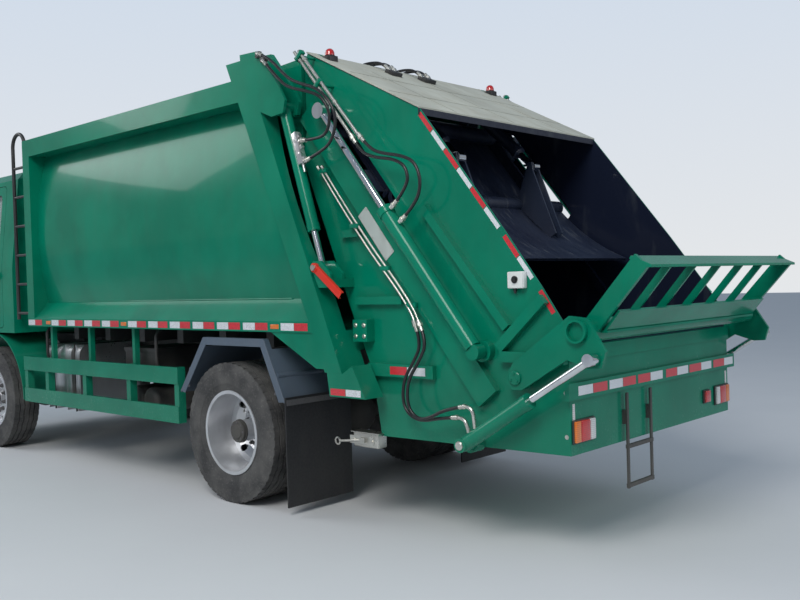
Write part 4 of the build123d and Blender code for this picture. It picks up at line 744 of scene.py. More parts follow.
# %% Tape on the tailgate's rear beam
# Where each block starts and ends, from the left: white red, white red, then four times red white.
BEAM_TAPE = ((0.958, 0.812, "white"), (0.808, 0.660, "red"), (0.636, 0.489, "white"), (0.485, 0.338, "red"),
             (0.309, 0.161, "red"), (0.157, 0.005, "white"), (-0.041, -0.187, "red"), (-0.191, -0.341, "white"),
             (-0.360, -0.529, "red"), (-0.533, -0.683, "white"), (-0.717, -0.885, "red"), (-0.889, -1.027, "white"))
BEAM_FACE_X = -3.752
BEAM_TAPE_Z = 0.945
tapes = {"white": bmesh.new(), "red": bmesh.new()}
for start, end, colour in BEAM_TAPE:
    box_form(tapes[colour], (BEAM_FACE_X - TAPE_THICK, BEAM_FACE_X), (end, start),
             (BEAM_TAPE_Z - TAPE_HIGH / 2, BEAM_TAPE_Z + TAPE_HIGH / 2))
print(len(BEAM_TAPE), "blocks on the rear beam")

# %% Tape along the side plates
# The sloping rear edge of each side plate: outline points (x, z), down to the hopper's lip.
EDGE = ((-2.727, 2.590), (-3.330, 1.820), (-3.560, 1.510), (-3.690, 1.320))
TAIL_FACE_Y = 1.0
EDGE_TAPE_WIDE, EDGE_TAPE_INSET = 0.028, 0.006
EDGE_TAPE_LONG, EDGE_TAPE_GAP = 0.148, 0.006
EDGE_TAPE_FIRST, EDGE_TAPE_SHORTEST, EDGE_TAPE_LAST = 0.020, 0.060, 0.008
count = 0
for (x0, z0), (x1, z1) in zip(EDGE, EDGE[1:]):
    run = hypot(x1 - x0, z1 - z0)
    along = Vector(((x1 - x0) / run, 0, (z1 - z0) / run))
    inwards = Vector((-along.z, 0, along.x))
    first = Vector((x0, TAIL_FACE_Y + TAPE_THICK / 2, z0)) + inwards * (EDGE_TAPE_INSET + EDGE_TAPE_WIDE / 2)
    at = EDGE_TAPE_FIRST
    while at < run - EDGE_TAPE_SHORTEST:
        end = min(at + EDGE_TAPE_LONG, run - EDGE_TAPE_LAST)
        bar_form(tapes["white" if count % 2 else "red"], first + along * at, first + along * end, TAPE_THICK,
                 EDGE_TAPE_WIDE)
        at = end + EDGE_TAPE_GAP
        count += 1
print(count, "blocks along each side plate's edge")

# %% Tape on the low stiffener, and both sides of the tailgate
STIFFENER_FACE_Y = 1.036
STIFFENER_TAPE_Z = (0.980, 1.030)
for colour, x in (("red", (-2.590, -2.450)), ("white", (-2.740, -2.594))):
    box_form(tapes[colour], x, (STIFFENER_FACE_Y, STIFFENER_FACE_Y + TAPE_THICK), STIFFENER_TAPE_Z)
for name, form in tapes.items():
    # All but the rear beam's tape is copied to the right side plate.
    low = [v for v in form.verts if v.co.x > BEAM_FACE_X + 0.001]
    copied = bmesh.ops.duplicate(form, geom=[f for f in form.faces if all(v in low for v in f.verts)])
    fresh = [g for g in copied["geom"] if isinstance(g, bmesh.types.BMVert)]
    bmesh.ops.scale(form, vec=(1, -1, 1), verts=fresh)
    piece(f"tailgate_tape_{name}", form, f"tape_{name}", "tailgate")

tapes = {"white": bmesh.new(), "red": bmesh.new()}
POST_TAPE_Z = (0.850, 0.892)
for colour, x in (("red", (-2.235, -2.100)), ("white", (-2.370, -2.239))):
    box_form(tapes[colour], x, (RAIL_FACE_Y, RAIL_FACE_Y + TAPE_THICK), POST_TAPE_Z)
for name, form in tapes.items():
    piece(f"post_tape_{name}", both_sides(form), f"tape_{name}", "chassis")
print("tape on the stiffeners and on the boxes under the posts")

# %% [markdown]
# ## Lamps
# A lamp cluster is a black housing with three lenses. The colours could be faces of one block, but real lenses are
# mouldings with a gap between them, so each is a softened block a little proud of the housing, with the prism pattern
# in its finish. Amber is outside, then red, then white.

# %% Tail lamps
LENS_PROUD, LENS_DEEP = 0.012, 0.020
tail_low, tail_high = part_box("tail_lamps")
LAMP_BACK_X = tail_high.x
LAMP_FACE_X = tail_low.x
CLUSTERS = ((0.770, 0.990, ("white_lens", "red_lens", "amber_lens")),
            (-0.990, -0.770, ("amber_lens", "red_lens", "white_lens")))
SHARES = {"amber_lens": 0.27, "red_lens": 0.46, "white_lens": 0.27}
housing = bmesh.new()
for low_y, high_y, lenses in CLUSTERS:
    box_form(housing, (LAMP_FACE_X + LENS_PROUD, LAMP_BACK_X), (low_y, high_y), (0.660, 0.790))
box_form(housing, (LAMP_FACE_X + LENS_PROUD, LAMP_BACK_X), (-0.690, -0.600), (0.690, 0.780))
soften(housing, 0.006, 3)
housings = piece("tail_lamp_housings", housing, "black_plastic", "tailgate")
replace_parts(housings, "tail_lamps")
lens_forms = {name: bmesh.new() for name in SHARES}
for low_y, high_y, lenses in CLUSTERS:
    at, width = low_y + 0.008, high_y - low_y - 0.016
    for name in lenses:
        wide = width * SHARES[name]
        box_form(lens_forms[name], (LAMP_FACE_X, LAMP_FACE_X + LENS_DEEP), (at + 0.001, at + wide - 0.001),
                 (0.667, 0.783))
        at += wide
box_form(lens_forms["red_lens"], (LAMP_FACE_X, LAMP_FACE_X + LENS_DEEP), (-0.683, -0.607), (0.697, 0.773))
for name, form in lens_forms.items():
    soften(form, 0.007, 4)
    piece(f"tail_{name}", form, name, "tailgate", 50)
print("tail lamp clusters and the high red lamp")

# %% Marker lamps
MARKER_XS = (-1.560, 0.380, 1.700)
MARKER_HALF = 0.0445
form = bmesh.new()
for x in MARKER_XS:
    box_form(form, (x - MARKER_HALF, x + MARKER_HALF), (1.2125, 1.2198), (1.2605, 1.2925))
soften(form, 0.003, 3)
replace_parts(piece("amber_markers", both_sides(form), "amber_lens", "chassis", 50), "marker_lamps")
print("amber markers")

# %% [markdown]
# ## Chassis and container details
# Small fixed things make the underside read as a truck: bolts in the side guards, straps, ribs and a cap on the
# aluminium tank, bent tube brackets under the floor, and the wired edge of the mudguards. Bolts could be instances of
# one mesh, but they are few, so each group is one piece that is made on the left side and mirrored.

# %% Guard and flap bolts
GUARD_BOLT_XS = (-0.350, 0.350, 1.080, 1.780, 2.200)
GUARD_BAR_ZS = (0.585, 0.885)
form = bmesh.new()
for x in GUARD_BOLT_XS:
    for z in GUARD_BAR_ZS:
        bolt_form(form, (x, 1.2115, z), OUT, 0.0095, 0.0075)
for x, z in ((-0.52, 0.82), (-1.00, 1.160), (-1.54, 0.82)):
    bolt_form(form, (x, 1.212, z), OUT, 0.008, 0.006)
for y in (0.72, 0.88, 1.04, 1.17):
    bolt_form(form, (-1.652, y, 0.765), (-1, 0, 0), 0.009, 0.007)
piece("side_bolts", both_sides(form), "steel_grey", "chassis")
print("bolts on the guards, mudguards and flaps")

# %% Flap strips and mudguard edges
form = bmesh.new()
box_form(form, (-1.6565, -1.6522), (0.630, 1.212), (0.745, 0.785))
soften(form, 0.001, 1)
piece("flap_strips", both_sides(form), "steel_grey", "chassis")
GUARD = ((-0.420, 0.774), (-0.730, 1.184), (-1.430, 1.184), (-1.640, 0.764))
GUARD_EDGE_Y = 1.2145
form = bmesh.new()
for (x0, z0), (x1, z1) in zip(GUARD, GUARD[1:]):
    rod_form(form, (x0, GUARD_EDGE_Y, z0), (x1, GUARD_EDGE_Y, z1), 0.0055, 10)
piece("mudguard_edges", both_sides(form), "guard_grey", "chassis")
print("flap strips and the wired edges of the mudguards")

# %% [markdown]
# The tank is a pressed shell with raised ribs, held by two straps on rubber. A rib is the tank's own section a little
# larger, so one helper makes a square plate and rounds the four edges that run along the tank.

# %% Tank straps, ribs and cap
TANK_Y, TANK_Z = 0.790, 0.765


def band_form(form, x, width, size, rounding):
    """A band round the tank at x: a square plate of that size with rounded corners."""
    first = len(form.verts)
    box_form(form, (x - width / 2, x + width / 2), (TANK_Y - size / 2, TANK_Y + size / 2),
             (TANK_Z - size / 2, TANK_Z + size / 2))
    form.verts.ensure_lookup_table()
    fresh = set(form.verts[first:])
    long_edges = [e for e in form.edges if e.verts[0] in fresh and e.verts[1] in fresh
                  and abs((e.verts[0].co - e.verts[1].co).normalized().x) > 0.9]
    soften(form, rounding, 8, long_edges)


form = bmesh.new()
for x in (1.405, 1.440, 1.560, 1.640, 1.760, 1.840, 1.960, 1.995):
    band_form(form, x, 0.010, 0.605, 0.092)
piece("tank_ribs", form, "tank_aluminium", "chassis")
form = bmesh.new()
for x in (1.500, 1.900):
    band_form(form, x, 0.046, 0.6135, 0.097)
    for lip in (-0.028, 0.028):
        band_form(form, x + lip, 0.006, 0.6125, 0.096)
    rod_form(form, (x, 1.080, 0.640), (x, 1.0995, 0.640), 0.010, 6)      # the screw that tightens the strap
piece("tank_straps", form, "frame_black", "chassis")
form = bmesh.new()
cap_from, cap_to = Vector((1.960, 1.052, 1.079)), Vector((1.960, 1.071, 1.1062))
CAP_DOWN = Vector((0, 0.82, -0.57))      # down the cap's face
GRIP_HALF = 0.036
rod_form(form, cap_from, cap_to, 0.049, 32)
soften(form, 0.004, 3)
for k in range(3):
    turn = k * pi / 3
    side = (Vector((cos(turn), 0, 0)) + CAP_DOWN * sin(turn)) * GRIP_HALF
    bar_form(form, cap_to - side, cap_to + side, 0.007, 0.007)
piece("tank_cap", form, "black_plastic", "chassis")
print("tank with ribs, straps and cap")

# %% [markdown]
# Bent tubes stand between the chassis and the container's floor. Each is a tube along a spline. Welded seams show as
# thin beads: four over the container's roof, and one along each side where the ledge meets the barrelled wall.

# %% Bent tube brackets
BRACKET = ((0.93, 0.86), (1.10, 0.86), (1.13, 0.95), (1.13, 1.13), (1.13, 1.20), (1.07, 1.236))   # (y, z)
form = bmesh.new()
for x in (0.045, 1.915):
    tube_form(form, centreline([Vector((x, y, z)) for y, z in BRACKET]), 0.013, 12)
piece("bent_brackets", both_sides(form), "frame_black", "chassis", 50)
print("four bent brackets")

# %% Seams of the container
ROOF_CREST_Z, ROOF_SIDE_Y, ROOF_SIDE_Z = 2.9660, 0.86, 2.9435
form = bmesh.new()
for x in (-0.95, -0.15, 0.65, 1.45):
    rod_form(form, (x, -ROOF_SIDE_Y, ROOF_SIDE_Z), (x, 0.0, ROOF_CREST_Z), 0.0045, 6)
    rod_form(form, (x, 0.0, ROOF_CREST_Z), (x, ROOF_SIDE_Y, ROOF_SIDE_Z), 0.0045, 6)
piece("roof_welds", form, "green_paint", "chassis")
form = bmesh.new()
rod_form(form, (-1.60, 1.0815, 1.4615), (1.965, 1.0815, 1.4615), 0.0055, 8)
piece("ledge_welds", both_sides(form), "green_paint", "chassis")
print("seams on the roof and the ledges")

# %% [markdown]
# ## Tailgate details
# The side plates carry the small hardware that makes them look used: a screwed cover over the slide, a white switch
# box with its cable gland, the lock's bolts, a galvanised box with a pull rod and ring, and pins held by nuts. Such
# things could be drawn as a bump, but they stand out far enough to cast shadows, so they are small meshes.

# %% Bolts and pins
PIVOT_X, PIVOT_Z = -3.430, 1.010


def pin_form(form, x, z, y, radius, head=0.010):
    """The visible end of a hinge pin: a disc, its chamfer and the centre left by the lathe."""
    rod_form(form, (x, y, z), (x, y + head, z), radius, 28)
    rod_form(form, (x, y + head, z), (x, y + head + 0.004, z), radius, 28, radius * 0.86)
    rod_form(form, (x, y + head, z), (x, y + head + 0.0045, z), radius * 0.3, 12)


def bolt_ring(form, count, first_turn, radius, y, size, high):
    """Bolts on a circle about the lifter's pivot."""
    for k in range(count):
        turn = first_turn + k * 2 * pi / count
        bolt_form(form, (PIVOT_X + radius * cos(turn), y, PIVOT_Z + radius * sin(turn)), OUT, size, high)


form = bmesh.new()
for x in (-2.19, -2.265):              # the lock's four bolts
    for z in (1.215, 1.285):
        bolt_form(form, (x, 1.070, z), OUT, 0.011, 0.009)
bolt_form(form, (-3.180, 1.063, 1.147), OUT, 0.024, 0.017)      # the nut on the slide's pin
bolt_ring(form, 4, pi / 4, 0.052, 1.056, 0.006, 0.004)          # round the lifter's hub
for z in (0.935, 0.700):               # by the rear corner
    bolt_form(form, (-3.700, 1.000, z), OUT, 0.009, 0.006)
piece("tailgate_bolts", both_sides(form), "zinc", "tailgate")

form = bmesh.new()
pin_form(form, PIVOT_X, PIVOT_Z, 1.078, 0.040)
bolt_ring(form, 3, pi / 2, 0.024, 1.092, 0.0065, 0.005)
piece("lifter_pivot_caps", both_sides(form), "green_paint", "lifter")
form = bmesh.new()
pin_form(form, -3.100, 0.620, 1.171, 0.026, 0.006)
piece("lifter_cylinder_pins", both_sides(form), "zinc", "tailgate")
print("bolts and pins on the side plates")

# %% Cover plate
COVER_ENDS = ((-2.2585, 2.005), (-2.4910, 1.7135))
COVER_Y, COVER_THICK, COVER_WIDE = 1.0482, 0.0024, 0.0925
form = bmesh.new()
upper, lower = (Vector((x, COVER_Y, z)) for x, z in COVER_ENDS)
bar_form(form, upper, lower, COVER_THICK, COVER_WIDE)
soften(form, 0.006, 3, [e for e in form.edges if abs((e.verts[0].co - e.verts[1].co).normalized().y) > 0.9])
slide = (lower - upper).normalized()
across = Vector((slide.z, 0, -slide.x))
piece("slide_cover", form, "cover_grey", "tailgate")
form = bmesh.new()
for share in (0.05, 0.5, 0.95):
    for side in (-0.038, 0.038):
        spot = upper + (lower - upper) * share + across * side + Vector((0, COVER_THICK / 2, 0))
        rod_form(form, spot, spot + Vector((0, 0.0022, 0)), 0.0045, 12, 0.0036)
piece("slide_cover_screws", form, "zinc", "tailgate")
print("cover plate with six screws")

# %% Switch box
form = bmesh.new()
box_form(form, (-3.474, -3.367), (1.0005, 1.040), (1.497, 1.590))
soften(form, 0.007, 4)
box_form(form, (-3.470, -3.371), (1.0385, 1.0425), (1.501, 1.586))
piece("switch_box", form, "white_paint", "tailgate")
form = bmesh.new()
# The button in its collar, then the gland under the box: a nut and the sleeve that the cable comes out of.
rod_form(form, (-3.420, 1.042, 1.546), (-3.420, 1.0495, 1.546), 0.020, 24)
rod_form(form, (-3.420, 1.049, 1.546), (-3.420, 1.0555, 1.546), 0.013, 24)
rod_form(form, (-3.405, 1.020, 1.498), (-3.405, 1.020, 1.482), 0.011, 6)
rod_form(form, (-3.405, 1.020, 1.484), (-3.405, 1.020, 1.470), 0.008, 14, 0.006)
piece("switch_box_button", form, "black_plastic", "tailgate")
print("switch box with button and cable gland")

# %% Galvanised box with its rod and ring
form = bmesh.new()
# The box, its lid, and a plate with two bolts. Then the pull rod in its guide, with a ring on the end.
box_form(form, (-2.335, -2.110), (0.960, 1.045), (0.500, 0.596))
soften(form, 0.010, 3)
box_form(form, (-2.350, -2.095), (0.955, 1.050), (0.594, 0.598))
box_form(form, (-2.300, -2.085), (1.044, 1.049), (0.520, 0.572))
for x in (-2.285, -2.125):
    bolt_form(form, (x, 1.049, 0.546), OUT, 0.008, 0.006)
rod_form(form, (-2.225, 1.060, 0.550), (-2.000, 1.060, 0.526), 0.0085, 14)
box_form(form, (-2.235, -2.190), (1.046, 1.068), (0.534, 0.564))
ring = [(0.006 * cos(t), 0.022 + 0.006 * sin(t)) for t in (2 * pi * k / 8 for k in range(8))]
spin_form(form, ring, (-1.980, 1.060, 0.524), 24)
piece("galvanised_boxes", both_sides(form), "zinc", "tailgate")
print("galvanised boxes at the plates' front corners")

# %% [markdown]
# The tailgate's roof is a sheet with welded seams: three down its slope and two across. Its pale beige, on the seams
# too, is painted glare on green paint. On its front corners stand the warning lamps. A dome could be half a sphere, but
# a spun profile gives it the straight foot of the real one.

# %% Roof seams and warning lamps
HOOD_FRONT = Vector((-1.735, 0, 3.122))
HOOD_KNEE = Vector((-2.727, 0, 2.602))
fall = (HOOD_KNEE - HOOD_FRONT).normalized()
form = bmesh.new()
SEAM_WIDE, SEAM_HIGH, SEAM_HALF = 0.009, 0.0028, Vector((0, 0.97, 0))
for y in (-0.62, 0.0, 0.62):
    shift = Vector((0, y, 0))
    bar_form(form, HOOD_FRONT + shift + fall * 0.26, HOOD_KNEE + shift - fall * 0.03, SEAM_WIDE, SEAM_HIGH)
for share in (0.38, 0.72):
    spot = HOOD_FRONT + (HOOD_KNEE - HOOD_FRONT) * share
    bar_form(form, spot - SEAM_HALF, spot + SEAM_HALF, SEAM_WIDE, SEAM_HIGH, tuple(fall))
# The seams take the roof's pale beige, which is painted glare.
piece("roof_seams", form, "roof_beige", "tailgate")

foot = bmesh.new()
dome = bmesh.new()
for y in (0.89, -0.89):
    base = HOOD_FRONT + Vector((0, y, 0)) + fall * 0.115
    spot = base + Vector((0, 0, 0.020))
    box_form(foot, (base.x - 0.040, base.x + 0.040), (y - 0.038, y + 0.038), (base.z - 0.022, base.z + 0.020))
    rod_form(foot, spot, spot + Vector((0, 0, 0.006)), 0.036, 28)
    profile = [(0.0, 0.001), (0.0, 0.033), (0.018, 0.032), (0.034, 0.026), (0.044, 0.014), (0.0470, 0.001)]
    spin_form(dome, profile, spot + Vector((0, 0, 0.006)), 28, (0, 0, 1))
soften(foot, 0.004, 2)
piece("warning_lamp_feet", foot, "black_plastic", "tailgate")
piece("warning_lamp_domes", dome, "red_lens", "tailgate", 50)
print("roof seams and two warning lamps")

# %% Rear corner reflectors
form = bmesh.new()
box_form(form, (-3.7255, -3.7240), (0.955, 0.978), (0.775, 0.875))
piece("corner_reflectors", both_sides(form), "white_lens", "tailgate")
print("white reflectors by the rear corners")

# %% [markdown]
# ## Pipes, valves and props
# Bright steel pipes bring the oil to the hoses: two beside the packer's slide, two down to the bin lifter. Valves
# sit on the backs of the lift cylinders, and a red prop folds down from each cylinder's lower pin. The pipes are
# tubes along splines, as the hoses below are.

# %% Bright pipes
def from_anchor(anchor, *offsets):
    """Points from their offsets to an anchor."""
    return [Vector(anchor) + Vector(offset) for offset in offsets]


LIFT_TOP = (-1.655, 1.150, 2.740)            # the lift cylinder's upper pin
SLIDE_TOP = (-1.96311, 1.100, 2.67696)       # the slide cylinder's upper pin
# The offsets from that pin: two straight pipes beside the slide, and two bent ones down to the lifter.
SLIDE_PIPES = (((0.211, 0.030, 0.418), (-0.304, 0.030, -0.200)), ((0.163, 0.035, 0.415), (-0.371, 0.040, -0.202)))
form = bmesh.new()
for offsets in SLIDE_PIPES:
    start, end = from_anchor(SLIDE_TOP, *offsets)
    rod_form(form, start, end, 0.011, 16)
    for share in (0.10, 0.62):
        at = start + (end - start) * share
        rod_form(form, at, at + (end - start).normalized() * 0.020, 0.0165, 6)
LIFTER_PIPES = (
    ((0.093, -0.038, -0.347), (-0.233, -0.038, -0.784), (-0.709, -0.038, -1.295), (-0.7355, -0.025, -1.3635)),
    ((0.054, -0.038, -0.350), (-0.273, -0.038, -0.779), (-0.749, -0.034, -1.292), (-0.7795, -0.012, -1.3631)))
for offsets in LIFTER_PIPES:
    tube_form(form, centreline(from_anchor(SLIDE_TOP, *offsets)), 0.007, 12)
    end, inner = from_anchor(SLIDE_TOP, offsets[0], offsets[1])
    rod_form(form, inner + (end - inner) * 0.93, end, 0.0115, 6)
piece("bright_pipes", both_sides(form), "zinc", "tailgate", 40)
print("bright pipes")

# %% Clamps on the pipes
# Each clamp on the lifter's pipes: the stretch between two of the pipe's points, and how far along it.
CLAMPS = ((0, 0.08), (0, 0.95), (1, 0.5), (1, 0.95))
form = bmesh.new()
for x, z in ((-1.8056, 3.0564), (-1.9768, 2.8412)):     # on the slide's pipes
    rod_form(form, (x, 1.000, z), (x, 1.132, z), 0.010, 14)
    bar_form(form, (x + 0.028, 1.134, z - 0.022), (x - 0.033, 1.134, z + 0.026), 0.034, 0.030)
for stretch, share in CLAMPS:
    start, end = from_anchor(SLIDE_TOP, LIFTER_PIPES[0][stretch], LIFTER_PIPES[0][stretch + 1])
    at = start + (end - start) * share
    box_form(form, (at.x - 0.062, at.x + 0.018), (1.0465, 1.0725), (at.z - 0.012, at.z + 0.016))
soften(form, 0.002, 2)
piece("pipe_clamps", both_sides(form), "green_paint", "tailgate")
print(2 + len(CLAMPS), "clamps a side")

# %% Valves on the lift cylinders
lean = Vector((-0.2963, 0, -0.9551))         # down the cylinder
back = Vector((-0.9551, 0, 0.2963))          # square to it, to the rear
form = bmesh.new()
upper = Vector(LIFT_TOP) + lean * 0.215 + back * 0.0623 + Vector((0, 0.016, 0))
bar_form(form, upper, upper + lean * 0.220, 0.048, 0.044)
soften(form, 0.004, 2)
for along in (0.030, 0.110, 0.190):    # plugs on the block's back
    rod_form(form, upper + lean * along + back * 0.021, upper + lean * along + back * 0.036, 0.015, 6)
rod_form(form, upper + lean * 0.219, upper + lean * 0.275, 0.009, 14)
for along in (0.060, 0.150):           # and on its outer face
    side = upper + lean * along + Vector((0, 0.023, 0))
    rod_form(form, side, side + Vector((0, 0.008, 0)), 0.011, 6)
piece("lift_valves", both_sides(form), "valve_silver", "lift_barrel_body")
print("a valve block on each lift cylinder")

# %% Red props
form = bmesh.new()
pin = Vector((-1.990, 1.2285, 1.660))
foot = Vector((-2.225, 1.2285, 1.478))
bar_form(form, pin, foot, 0.005, 0.048)
soften(form, 0.0015, 2)
slope = (foot - pin).normalized()
across = Vector((slope.z, 0, -slope.x))
outwards = Vector(OUT)
for side in (-0.0225, 0.0225):         # the channel's two flanges
    shift = across * side - outwards * 0.008
    bar_form(form, pin + shift, foot + shift, 0.020, 0.0035)
rod_form(form, pin - outwards * 0.0155, pin + outwards * 0.006, 0.030, 28)
piece("red_props", both_sides(form), "red_paint", "tailgate")
form = bmesh.new()
rod_form(form, pin + outwards * 0.004, pin + outwards * 0.017, 0.019, 24)
rod_form(form, pin + Vector((-0.024, 0.011, 0)), pin + Vector((0.024, 0.011, 0)), 0.0028, 8)
piece("prop_pins", both_sides(form), "zinc", "tailgate")
print("red props with their pins")

# %% Junction blocks
form = bmesh.new()
box_form(form, (-1.585, -1.530), (1.2195, 1.246), (3.048, 3.082))
box_form(form, (-1.524, -1.480), (1.2195, 1.246), (3.086, 3.128))
both_sides(form)
for low_y, high_y in ((0.350, 0.450), (-0.020, 0.100)):
    box_form(form, (-1.612, -1.560), (low_y, high_y), (3.0495, 3.062))
soften(form, 0.003, 2)
piece("portal_junctions", form, "frame_black", "chassis")
form = bmesh.new()
for low_y, high_y in ((0.290, 0.390), (-0.080, 0.040)):
    middle = (low_y + high_y) / 2
    bar_form(form, (-1.872, middle, 3.0645), (-1.948, middle, 3.0247), high_y - low_y, 0.030)
soften(form, 0.003, 2)
piece("roof_junctions", form, "frame_black", "tailgate")
print("junction blocks for the hoses")

# %% [markdown]
# ## Hydraulic hoses
# Sixteen hoses bring the oil to what moves: the lift cylinders, the packer's slide and the bin lifter on both sides,
# and the tailgate over its hinge. Each has a fixed length, which is printed. Its route is a short list of points from a
# named anchor, read as the control points of a NURBS spline, because a spline of order 3 leans into its corners the way
# a stiff hose does. Straight lines through the same points would need every bend rounded by hand. Where the two ends
# ride on different bodies, the mesh is left on no body.

# %% Routes on the two sides
HOSE_DIAMETER = 0.020
# Each offset is (dx, dy, dz) in metres from the anchor; y grows outwards, and the right side is mirrored.
LIFT_ROUTES = (
    ((0.080, 0.088, 0.300), (-0.086, 0.093, 0.136), (-0.195, 0.093, 0.084), (-0.330, 0.091, 0.045),
     (-0.455, 0.082, -0.005), (-0.517, 0.065, -0.115), (-0.465, 0.042, -0.230), (-0.345, 0.024, -0.256),
     (-0.132, 0.010, -0.2383)),
    ((0.130, 0.088, 0.365), (0.030, 0.088, 0.322), (-0.148, 0.093, 0.158), (-0.275, 0.095, 0.100),
     (-0.425, 0.096, 0.050), (-0.540, 0.092, -0.045), (-0.585, 0.076, -0.160), (-0.515, 0.052, -0.285),
     (-0.395, 0.030, -0.340), (-0.177, 0.008, -0.3845)))
SLIDE_ROUTES = (
    ((-0.327, 0.030, -0.233), (-0.387, 0.030, -0.317), (-0.507, 0.030, -0.362), (-0.652, 0.030, -0.385),
     (-0.759, 0.030, -0.442), (-0.771, 0.028, -0.562), (-0.617, 0.018, -0.676)),
    ((-0.408, 0.040, -0.236), (-0.472, 0.040, -0.305), (-0.582, 0.040, -0.347), (-0.717, 0.040, -0.372),
     (-0.837, 0.040, -0.422), (-0.882, 0.040, -0.542), (-0.837, 0.034, -0.667), (-0.685, 0.018, -0.765)))
LIFTER_ROUTES = (
    ((0.387, -0.050, 0.656), (0.350, -0.050, 0.560), (0.410, -0.050, 0.455), (0.488, -0.048, 0.355),
     (0.508, -0.044, 0.250), (0.488, -0.039, 0.165), (0.415, -0.033, 0.113), (0.320, -0.025, 0.105),
     (0.195, -0.015, 0.132), (0.065, -0.005, 0.148)),
    ((0.335, -0.035, 0.658), (0.278, -0.019, 0.570), (0.330, -0.003, 0.460), (0.408, 0.005, 0.355),
     (0.428, 0.005, 0.250), (0.410, 0.005, 0.165), (0.340, 0.005, 0.117), (0.254, 0.005, 0.130),
     (0.130, 0.005, 0.192), (0.000, 0.005, 0.215)))
LIFTER_PIN = (-3.100, 1.125, 0.620)          # the lifter cylinder's pin on the tailgate
# Group, anchor, the bodies at the start and the end, the lengths of the fittings there, and the routes.
HOSE_GROUPS = (
    ("lift_hose", LIFT_TOP, "chassis", "lift_barrel_body", 0.028, 0.070, LIFT_ROUTES),
    ("slide_hose", SLIDE_TOP, "tailgate", "tailgate", 0.046, 0.042, SLIDE_ROUTES),
    ("lifter_hose", LIFTER_PIN, "tailgate", "lifter_barrel_body", 0.046, 0.068, LIFTER_ROUTES))
hose_table = []
for group, anchor, start_body, end_body, start_fit, end_fit, routes in HOSE_GROUPS:
    for number, offsets in enumerate(routes, 1):
        for side, sign in SIDES:
            points = [Vector((anchor[0] + dx, sign * (anchor[1] + dy), anchor[2] + dz)) for dx, dy, dz in offsets]
            hose_table.append((f"{group}_{number}_{side}", points, start_body, end_body, start_fit, end_fit))
print(len(hose_table), "hoses on the two sides")

# %% Routes over the tailgate's hinge
HINGE_X, HINGE_Z = -1.720, 3.080
BRIDGE_YS = (0.430, 0.370, 0.080, 0.0)
BRIDGE_ROUTE = ((0.120, 0, -0.010), (0.080, 0, 0.046), (-0.020, -0.030, 0.062), (-0.120, -0.060, 0.044),
                (-0.182, -0.060, -0.026))
for number, y in enumerate(BRIDGE_YS, 1):
    points = [Vector((HINGE_X + dx, y + dy, HINGE_Z + dz)) for dx, dy, dz in BRIDGE_ROUTE]
    hose_table.append((f"bridge_hose_{number}", points, "chassis", "tailgate", 0.032, 0.042))
print(len(hose_table), "hoses listed in all")

# %% [markdown]
# Rubber can't hold a thread, so a steel sleeve is crimped over each end of a hose, and a nut joins it to a pipe. One
# model could be copied to every end, but each points along its own hose, so a function builds it along that line.

# %% Ferrules
NUT_NEEDS = 0.030          # a shorter fitting has no room for its nut


def ferrule(form, end, inner, cover):
    """A crimped sleeve on the hose, a hexagon nut, and the pipe end that the nut is screwed to."""
    out = (end - inner).normalized()
    rod_form(form, end - out * 0.026, end + out * 0.007, 0.0128, 18)
    for ring in (-0.021, -0.013, -0.005):
        rod_form(form, end + out * ring, end + out * (ring + 0.004), 0.0139, 18)
    rod_form(form, end + out * 0.006, end + out * (cover + 0.001), 0.0157, 18)
    if cover > NUT_NEEDS:
        rod_form(form, end + out * 0.009, end + out * 0.027, 0.0190, 6)


print("ferrules ready")

# %% Make the hoses
# The lifter's hoses end in steel elbows that turn down into its cylinder; each offset is from the cylinder's pin.
ELBOW_PORTS = {"lifter_hose_1": (-0.034, 0, 0.072), "lifter_hose_2": (-0.080, 0, 0.098)}
ELBOW_RADIUS, ELBOW_REACH, ELBOW_DROP, ELBOW_FIT = 0.0112, 0.068, 0.012, 0.022
fittings = {}
for name, points, start_body, end_body, start_fit, end_fit in hose_table:
    path = centreline(points)
    run = sum((b - a).length for a, b in zip(path, path[1:]))
    form = tube_form(bmesh.new(), path, HOSE_DIAMETER / 2)
    if start_body == end_body:
        item = piece(name, form, "hose_rubber", start_body, 60)
    else:
        item = piece(name, form, "hose_rubber", None, 60)
        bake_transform(item)
    out = (points[-1] - points[-2]).normalized()
    mouth = points[-1] - out * end_fit
    route = name.rsplit("_", 1)[0]
    if route in ELBOW_PORTS:
        sign = 1 if points[-1].y > 0 else -1
        dx, dy, dz = ELBOW_PORTS[route]
        port = Vector((LIFTER_PIN[0] + dx, sign * (LIFTER_PIN[1] + dy), LIFTER_PIN[2] + dz))
        line = centreline([points[-1], points[-1] + out * ELBOW_REACH, port + Vector((0, 0, ELBOW_DROP)), port])
        form = tube_form(bmesh.new(), line, ELBOW_RADIUS)
        piece(f"{name}_elbow", form, "zinc", end_body, 60)
        mouth, end_fit = points[-1], ELBOW_FIT
    exit_at = points[0]
    if name.startswith("slide_hose"):
        # It leaves the slide's cylinder and ends in a fitting on the bright pipe.
        exit_at, path = points[-1], path[::-1]
        form = bmesh.new()
        ferrule(form, points[0], points[1], start_fit)
        piece(f"{name}_fitting", form, "zinc", start_body)
    else:
        ferrule(fittings.setdefault(start_body, bmesh.new()), points[0], points[1], start_fit)
    ferrule(fittings.setdefault(end_body, bmesh.new()), mouth, mouth - out, end_fit)
    print(name, "runs", round(run, 3), "m")
for body, form in fittings.items():
    piece(f"{body}_hose_fittings", form, "zinc", body)
print(len(fittings), "groups of fittings")

# %% [markdown]
# ## Cab
# Seats are soft, so they are modelled as crowned cushions: a subdivided block is pushed towards a rounded box, its
# faces bulge in the middle, its sides pull in between the corners, and shallow channels are sewn across it. A cloth
# simulation could swell it, but a formula gives the same cushion at each run.

